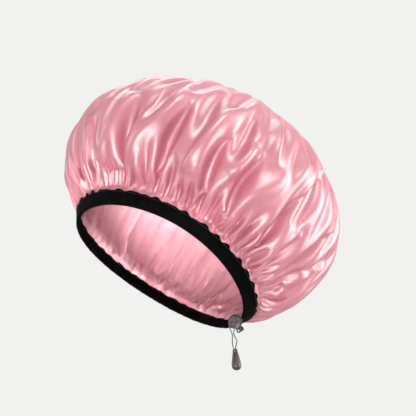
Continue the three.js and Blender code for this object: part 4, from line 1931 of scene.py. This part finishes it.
@dataclass
class CordLock:
    """Round smoke-grey lock with its cross-bar button and spring."""

    at: LockFrame
    radius: float = 6.4 * MM
    thickness: float = 7.4 * MM
    edge: float = 1.6 * MM
    body_sides: int = 96
    gap: float = 0.3 * MM
    bore_width: float = 7.4 * MM
    bore_height: float = 4.6 * MM
    bore_edge: float = 0.12 * MM
    travel: float = 1.5 * MM
    stem_width: float = 5.6 * MM
    stem_thickness: float = 2.8 * MM
    stem_top: float = 1.9 * MM
    stem_edge: float = 0.15 * MM
    gate_width: float = 4.2 * MM
    gate_height: float = 3.2 * MM
    head_diameter: float = 4.2 * MM
    head_length: float = 7.2 * MM
    head_edge_share: float = 0.42
    hole_diameter: float = 1.8 * MM
    hole_offset: float = -1.7 * MM
    hole_sides: int = 32
    spring_diameter: float = 2.2 * MM
    spring_top: float = 5 * MM

    @property
    def head_level(self) -> float:
        """Level of the button's cross bar."""
        return -(self.radius + self.head_diameter / 2)

    @property
    def mouth(self) -> float:
        """How far the lock's face is from its centre."""
        return self.thickness / 2

    def body(self) -> bpy.types.Object:
        """Make the round body with its bore, pocket, slot and spring hole.

        Returns:
            The body, in the lock's own axes.
        """
        body = rod(self.radius, self.thickness, (0, 0, 0), "Y", self.body_sides)
        round_edges(body, self.edge, segments=6, degrees=60)
        bore = rod(self.bore_height / 2, 2 * self.thickness, (0, 0, 0), "Y")
        stretch(bore, "x", (self.bore_width - self.bore_height) / 2)
        room = 2 * self.gap
        pocket_top = -self.radius + self.travel + self.gap
        pocket = box(
            (self.head_length + room, self.head_diameter + room, self.radius),
            (0, 0, pocket_top - self.radius / 2),
        )
        slot_top = self.stem_top + self.travel + self.gap
        slot = box(
            (self.stem_width + room, self.stem_thickness + room, slot_top + self.radius),
            (0, 0, (slot_top - self.radius) / 2),
        )
        hole = rod(self.spring_diameter / 2 + self.gap, self.spring_top, (0, 0, self.spring_top / 2), "Z")
        cut_away(body, [bore, pocket, slot, hole])
        round_edges(body, self.bore_edge, segments=2, degrees=50)
        return named(body, "lock_shell")

    def button(self) -> bpy.types.Object:
        """Make the button: a stem with its gate, and a rounded cross bar with a hole.

        Returns:
            The button, in the lock's own axes.
        """
        height = self.stem_top - self.head_level
        stem = box((self.stem_width, self.stem_thickness, height), (0, 0, self.stem_top - height / 2))
        head = rod(self.head_diameter / 2, self.head_length, (0, 0, self.head_level), "X")
        round_edges(head, self.head_diameter * self.head_edge_share, segments=6, degrees=60)
        cut_away(stem, [head], join=True)
        gate = box((self.gate_width, 2 * self.stem_thickness, self.gate_height), (0, 0, -self.travel))
        hole_place = (self.hole_offset, 0, self.head_level)
        hole = rod(self.hole_diameter / 2, 2 * self.head_diameter, hole_place, "Y", self.hole_sides)
        cut_away(stem, [gate, hole])
        round_edges(stem, self.stem_edge, segments=2, degrees=50)
        return named(stem, "lock_button")

    def build(self, wardrobe: Wardrobe) -> list[bpy.types.Object]:
        """Make the lock's pieces, and give the CAD spring its finish.

        Args:
            wardrobe: gives the finishes.

        Returns:
            The pieces.
        """
        body, button = self.body(), self.button()
        for piece, carrier, node in ((body, "lock", "lock_body"), (button, "button", "lock_plunger")):
            finish_solid(piece, self.at.matrix)
            wardrobe.dress(piece, Finish.SMOKE)
            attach(piece, carrier)
            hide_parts(node)
        material = Finish.SPRING.value.build()
        for slot in bpy.data.objects["lock_spring"].material_slots:
            slot.material = material
        return [body, button]


@dataclass
class FreeCord:
    """The cord below the lock: two legs out of the bore and a loop through the pull's eye.

    The lines' points are places beside the lock's centre.
    """

    at: LockFrame
    diameter: float = 1 * MM
    inside: float = 2 * MM
    left_leg: tuple[tuple[float, float, float], ...] = (
        (-0.0009, -0.0032, -0.0046), (-0.0026, -0.0039, -0.0040), (-0.0046, -0.0037, -0.0039),
        (-0.0054, -0.0029, -0.0050), (-0.0052, -0.0020, -0.0068), (-0.0043, -0.0013, -0.0088),
        (-0.0034, -0.0010, -0.0110), (-0.00295, -0.0009, -0.0126), (-0.00285, -0.00085, -0.0135),
    )
    loop: tuple[tuple[float, float, float], ...] = (
        (-0.0028, -0.00085, -0.0138), (-0.0027, -0.0010, -0.0165), (-0.0027, -0.0020, -0.0200),
        (-0.0026, -0.0033, -0.0238), (-0.00225, -0.0042, -0.0263), (-0.0018, -0.00415, -0.0278),
        (-0.00115, -0.0033, -0.0291), (-0.00055, -0.00195, -0.0297), (-0.0003, -0.0004, -0.02975),
        (-0.00025, 0.0010, -0.0292), (-0.00015, 0.0021, -0.0280), (0.0, 0.00235, -0.0262),
        (0.0005, 0.0015, -0.0236), (0.0011, 0.0004, -0.0210), (0.00115, -0.0005, -0.0186),
        (0.0004, -0.0008, -0.0166), (-0.0006, -0.00085, -0.0151), (-0.0011, -0.00085, -0.0138),
    )
    right_leg: tuple[tuple[float, float, float], ...] = (
        (0.00095, -0.0039, -0.0033), (0.0007, -0.0038, -0.0047), (-0.0002, -0.0027, -0.0069),
        (-0.0010, -0.0015, -0.0092), (-0.00135, -0.0009, -0.0114), (-0.0013, -0.00085, -0.0128),
        (-0.00115, -0.00085, -0.0135),
    )
    joint: Place = (-2 * MM, -0.85 * MM, -13.65 * MM)
    bend_reach: float = 3.5 * MM
    path_steps: int = 6

    def route(self) -> np.ndarray:
        """The cord's centre line.

        Returns:
            Its points, from inside the bore, round the loop and back in.
        """
        left_in = [self.at.strand(-1, y) for y in (self.inside, -self.inside)]
        right_in = [self.at.strand(1, y) for y in (-self.inside, self.inside)]
        drawn = self.at.beside((*self.left_leg, *self.loop, *self.right_leg[::-1]))
        return smooth_path(np.array([*left_in, *drawn, *right_in]), self.path_steps)

    def build(self, wardrobe: Wardrobe, pull: bpy.types.Object, mouth: float) -> bpy.types.Object:
        """Make the cord.

        Args:
            wardrobe: gives the finish.
            pull: the pull that hangs on the cord; not used.
            mouth: how far the lock's face is from its centre.

        Returns:
            The piece.
        """
        path = self.route()
        cord = tube("cord_loop_braid", path, self.diameter / 2)
        wardrobe.dress(cord, Finish.CORD)
        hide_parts("cord_leg_left", "cord_leg_right", "cord_loop")
        joint = self.at.centre + Vector(self.joint)
        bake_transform(cord)
        self.at.strand(-1, -mouth)
        return cord


@dataclass
class DrawCord:
    """The elastic in the band's channel and its two ends that run into the lock."""

    form: CapForm
    at: LockFrame
    diameter: float = 1 * MM
    sides: int = 12
    seat: float = 2.4 * MM
    bend: float = 7 * MM
    bend_seat_share: float = 0.75
    spread: float = 1.5
    straight: float = 3 * MM
    inside: float = 2.3 * MM
    slot_room: float = 0.5 * MM
    least_slide: float = 2 * MM
    stations: int = 360
    path_steps: int = 6

    @property
    def bend_turn(self) -> float:
        """Angle about the cap's axis over which an end bends out of the channel."""
        return self.bend / self.form.opening_radius

    def end(self, side: int, mouth: float) -> np.ndarray:
        """Line of one end, from the channel out through the slot into the lock.

        Args:
            side: 1 or -1, the side of the slot.
            mouth: how far the lock's face is from its centre.

        Returns:
            The line's points.
        """
        sideways = self.at.strand_x / self.form.opening_radius
        out = [
            self.form.rim(self.form.slot_turn + side * angle, slant, 0)
            for angle, slant in (
                (self.bend_turn, self.seat), (self.bend_turn / 2, self.bend_seat_share * self.seat),
                (self.spread * sideways, 0), (sideways, -2 * self.diameter),
            )
        ]
        into_lock = [self.at.strand(-side, y) for y in (mouth + self.straight, mouth, self.inside)]
        return smooth_path(np.array(out + into_lock), self.path_steps)

    def build(self, wardrobe: Wardrobe, mouth: float) -> list[bpy.types.Object]:
        """Make the elastic.

        Args:
            wardrobe: gives the finish.
            mouth: how far the lock's face is from its centre.

        Returns:
            The stretch in the channel and the two ends.
        """
        first, bend = self.form.slot_turn, self.bend_turn
        turn = np.linspace(first + bend, first + TURN - bend, self.stations)
        path = self.form.rim(turn, self.seat, 0)
        pieces = [tube("drawcord_in_channel", path, self.diameter / 2, self.sides)]
        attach(pieces[0], "cap")
        slot = self.at.slot
        entry = Vector(self.at.place(0, mouth, self.at.strand_z))
        away = Vector(self.at.place(0, -1, 0) - self.at.place(0, 0, 0))
        for side, label in ((1, "right"), (-1, "left")):
            strand = tube(f"drawcord_end_{label}", self.end(side, mouth), self.diameter / 2, self.sides)
            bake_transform(strand)
            pieces.append(strand)
        for piece in pieces:
            wardrobe.dress(piece, Finish.CORD)
            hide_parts("drawcord")
        return pieces


@dataclass
class Pull:
    """Gunmetal teardrop with flats and an eye at its neck."""

    at: LockFrame
    length: float = 20.6 * MM
    radius: float = 4.3 * MM
    neck_radius: float = 2.15 * MM
    eye_diameter: float = 2.4 * MM
    eye_drop: float = 2.2 * MM
    eye_thickness: float = 2.6 * MM
    eye_flat: float = 4.8 * MM
    above_flat: float = 2 * MM
    edge: float = 0.25 * MM
    lean: float = math.radians(-5)
    eye_place: Place = (-0.00035, -0.00085, -0.0295)
    bulb_shares: tuple[tuple[float, float], ...] = (
        (0.5, 0.03), (0.87, 0.1), (1, 0.24), (0.93, 0.38), (0.75, 0.6),
    )
    neck_shares: tuple[tuple[float, float], ...] = ((1.1, -0.6), (0.98, 0.36), (0.6, 0.88))
    outline_steps: int = 5
    segments: int = 64

    def outline(self) -> np.ndarray:
        """Radius and height of the drop's outline, from the bottom up.

        Returns:
            Radius and height of each point, in the last axis.
        """
        bottom = self.eye_drop - self.length
        points = [
            (0, bottom),
            *((self.radius * out, bottom + self.length * up) for out, up in self.bulb_shares),
            *((self.neck_radius * out, self.eye_drop * up) for out, up in self.neck_shares),
            (0, self.eye_drop),
        ]
        line = smooth_path(np.array([(r, z, 0) for r, z in points]), self.outline_steps)[:, :2]
        line[0, 0] = line[-1, 0] = 0
        return line

    def build(self, wardrobe: Wardrobe) -> bpy.types.Object:
        """Make the pull.

        Args:
            wardrobe: gives the finish.

        Returns:
            The piece.
        """
        line = self.outline()
        rings = len(line) - 1
        deselect_all()
        bpy.ops.mesh.primitive_uv_sphere_add(segments=self.segments, ring_count=rings, radius=1)
        pull = named(bpy.context.object, "pull_drop")
        for vertex in pull.data.vertices:
            share = math.acos(max(-1, min(1, -vertex.co.z))) / math.pi
            radius, height = line[round(share * rings)]
            around = math.atan2(vertex.co.y, vertex.co.x)
            vertex.co = (radius * math.cos(around), radius * math.sin(around), height)
        wide = 3 * self.radius
        middle = self.eye_drop + self.above_flat / 2 - self.eye_flat / 2
        flats = [
            box(
                (wide, self.radius, self.eye_flat + self.above_flat),
                (0, side * (self.eye_thickness + self.radius) / 2, middle),
            )
            for side in (-1, 1)
        ]
        cut_away(pull, [*flats, rod(self.eye_diameter / 2, wide, (0, 0, 0), "Y")])
        round_edges(pull, self.edge, segments=3, degrees=40)
        place = self.at.centre + Vector(self.eye_place)
        finish_solid(pull, Matrix.Translation(place) @ Matrix.Rotation(self.lean, 4, "Y"))
        wardrobe.dress(pull, Finish.GUNMETAL)
        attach(pull, "pull")
        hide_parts("teardrop_pull")
        return pull


# Stage and light


@dataclass(frozen=True)
class Softbox:
    """One large studio lamp."""

    name: str
    place: Place
    aim: Place
    width: float
    height: float
    power: float
    spread: float = 180

    def build(self) -> None:
        """Add the lamp, facing its aim."""
        deselect_all()
        turn = (Vector(self.aim) - Vector(self.place)).to_track_quat("-Z", "Y").to_euler()
        bpy.ops.object.light_add(type="AREA", location=self.place, rotation=turn)
        lamp = bpy.context.object
        lamp.name = self.name
        lamp.data.shape = "RECTANGLE"
        lamp.data.size = self.width
        lamp.data.size_y = self.height
        lamp.data.energy = self.power
        lamp.data.spread = math.radians(self.spread)


@dataclass
class Stage:
    """Pale studio: backdrop, floor and lamps."""

    backdrop: Colour = rgba(241, 241, 239)
    plain_light: Colour = (1, 1, 1, 1)
    ambient: float = 0.18
    floor_level: float = -1.6
    floor_radius: float = 8.0
    floor_sides: int = 96
    floor_glow: float = 0.8
    floor_roughness: float = 0.9
    paper_shade: Colour = rgba(232, 232, 230)
    paper_grain: Mottle = Mottle(40, 3)
    grain_share: float = 0.15
    lamps: tuple[Softbox, ...] = (
        Softbox("right_wall", (1.5, -0.1, 0.15), (0.03, 0, 0.06), 1.0, 1.6, 29),
        Softbox("front_upper", (0.3, -1.2, 0.95), (0.03, 0, 0.06), 0.5, 0.4, 11),
        Softbox("left_rim", (-1.4, -0.1, 0.5), (0.0, 0, 0.06), 0.6, 1.0, 5),
        Softbox("top", (0.0, 0.3, 1.5), (0.03, 0, 0.06), 0.8, 0.5, 7),
        Softbox("low_front", (-0.3, -1.15, -0.8), (0.0, 0, 0.03), 0.6, 0.6, 15),
        Softbox("into_opening_left", (-0.42, -0.95, -0.9), (-0.06, 0.0, 0.02), 0.06, 0.06, 0.045, 9),
        Softbox("into_opening_right", (0.08, -1.1, -0.85), (0.0, 0.0, 0.02), 0.06, 0.06, 0.045, 9),
    )

    def build(self) -> None:
        """Make the world, the floor and the lamps."""
        scene = bpy.context.scene
        scene.view_settings.view_transform = "Standard"
        self.world(scene)
        self.floor()
        for lamp in self.lamps:
            lamp.build()

    def world(self, scene: bpy.types.Scene) -> None:
        """Show the backdrop to the camera and to gloss, and light the rest plainly.

        Args:
            scene: the scene that gets the world.
        """
        world = bpy.data.worlds.new("studio")
        world.use_nodes = True
        scene.world = world
        bench = NodeBench(world.node_tree)
        kind = "ShaderNodeBackground"
        plain = bench.node(kind, None, {"Color": self.plain_light, "Strength": self.ambient})
        shown = bench.node(kind, None, {"Color": self.backdrop})
        mixed = bench.node("ShaderNodeMixShader", None, {0: bench.seen_directly(), 1: plain, 2: shown})
        bench.feed(bench.nodes["World Output"].inputs["Surface"], mixed)

    def floor(self) -> None:
        """Lay the pale floor below the camera."""
        deselect_all()
        bpy.ops.mesh.primitive_circle_add(
            vertices=self.floor_sides, radius=self.floor_radius, fill_type="NGON",
            location=(0, 0, self.floor_level),
        )
        floor = place_in_mesh(named(bpy.context.object, "floor"))
        tree = FinishTree("floor_paper")
        grain = tree.noise(self.paper_grain) * self.grain_share
        paper = tree.mix(grain, self.backdrop, self.paper_shade)
        tree.set(Base_Color=paper, Roughness=self.floor_roughness)
        glow = tree.node("ShaderNodeEmission", None, {"Color": paper})
        share = tree.seen_directly() * self.floor_glow
        lit = Signal(tree, tree.shader.outputs[0])
        mixed = tree.node("ShaderNodeMixShader", None, {0: share, 1: lit, 2: glow})
        tree.feed(tree.nodes["Material Output"].inputs["Surface"], mixed)
        floor.data.materials.append(tree.material)


def main() -> None:
    """Build the cap, its stage and its lights in order."""
    logging.basicConfig(level=logging.INFO, format="%(name)s: %(message)s")
    form, view = CapForm(), PhotoView()
    view.make_camera()
    wardrobe = Wardrobe()
    at = LockFrame(form)
    lock = CordLock(at)
    pull = Pull(at).build(wardrobe)
    made = [pull, FreeCord(at).build(wardrobe, pull, lock.mouth)]
    made += DrawCord(form, at).build(wardrobe, lock.mouth)
    made += lock.build(wardrobe)
    made += Band(form).build(wardrobe)
    made += Fabric(form, view).build(wardrobe)
    for piece in made:
        LOG.info("%s: %d faces", piece.name, len(piece.data.polygons))
    Stage().build()
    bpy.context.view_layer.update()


if __name__ == "__main__":
    main()
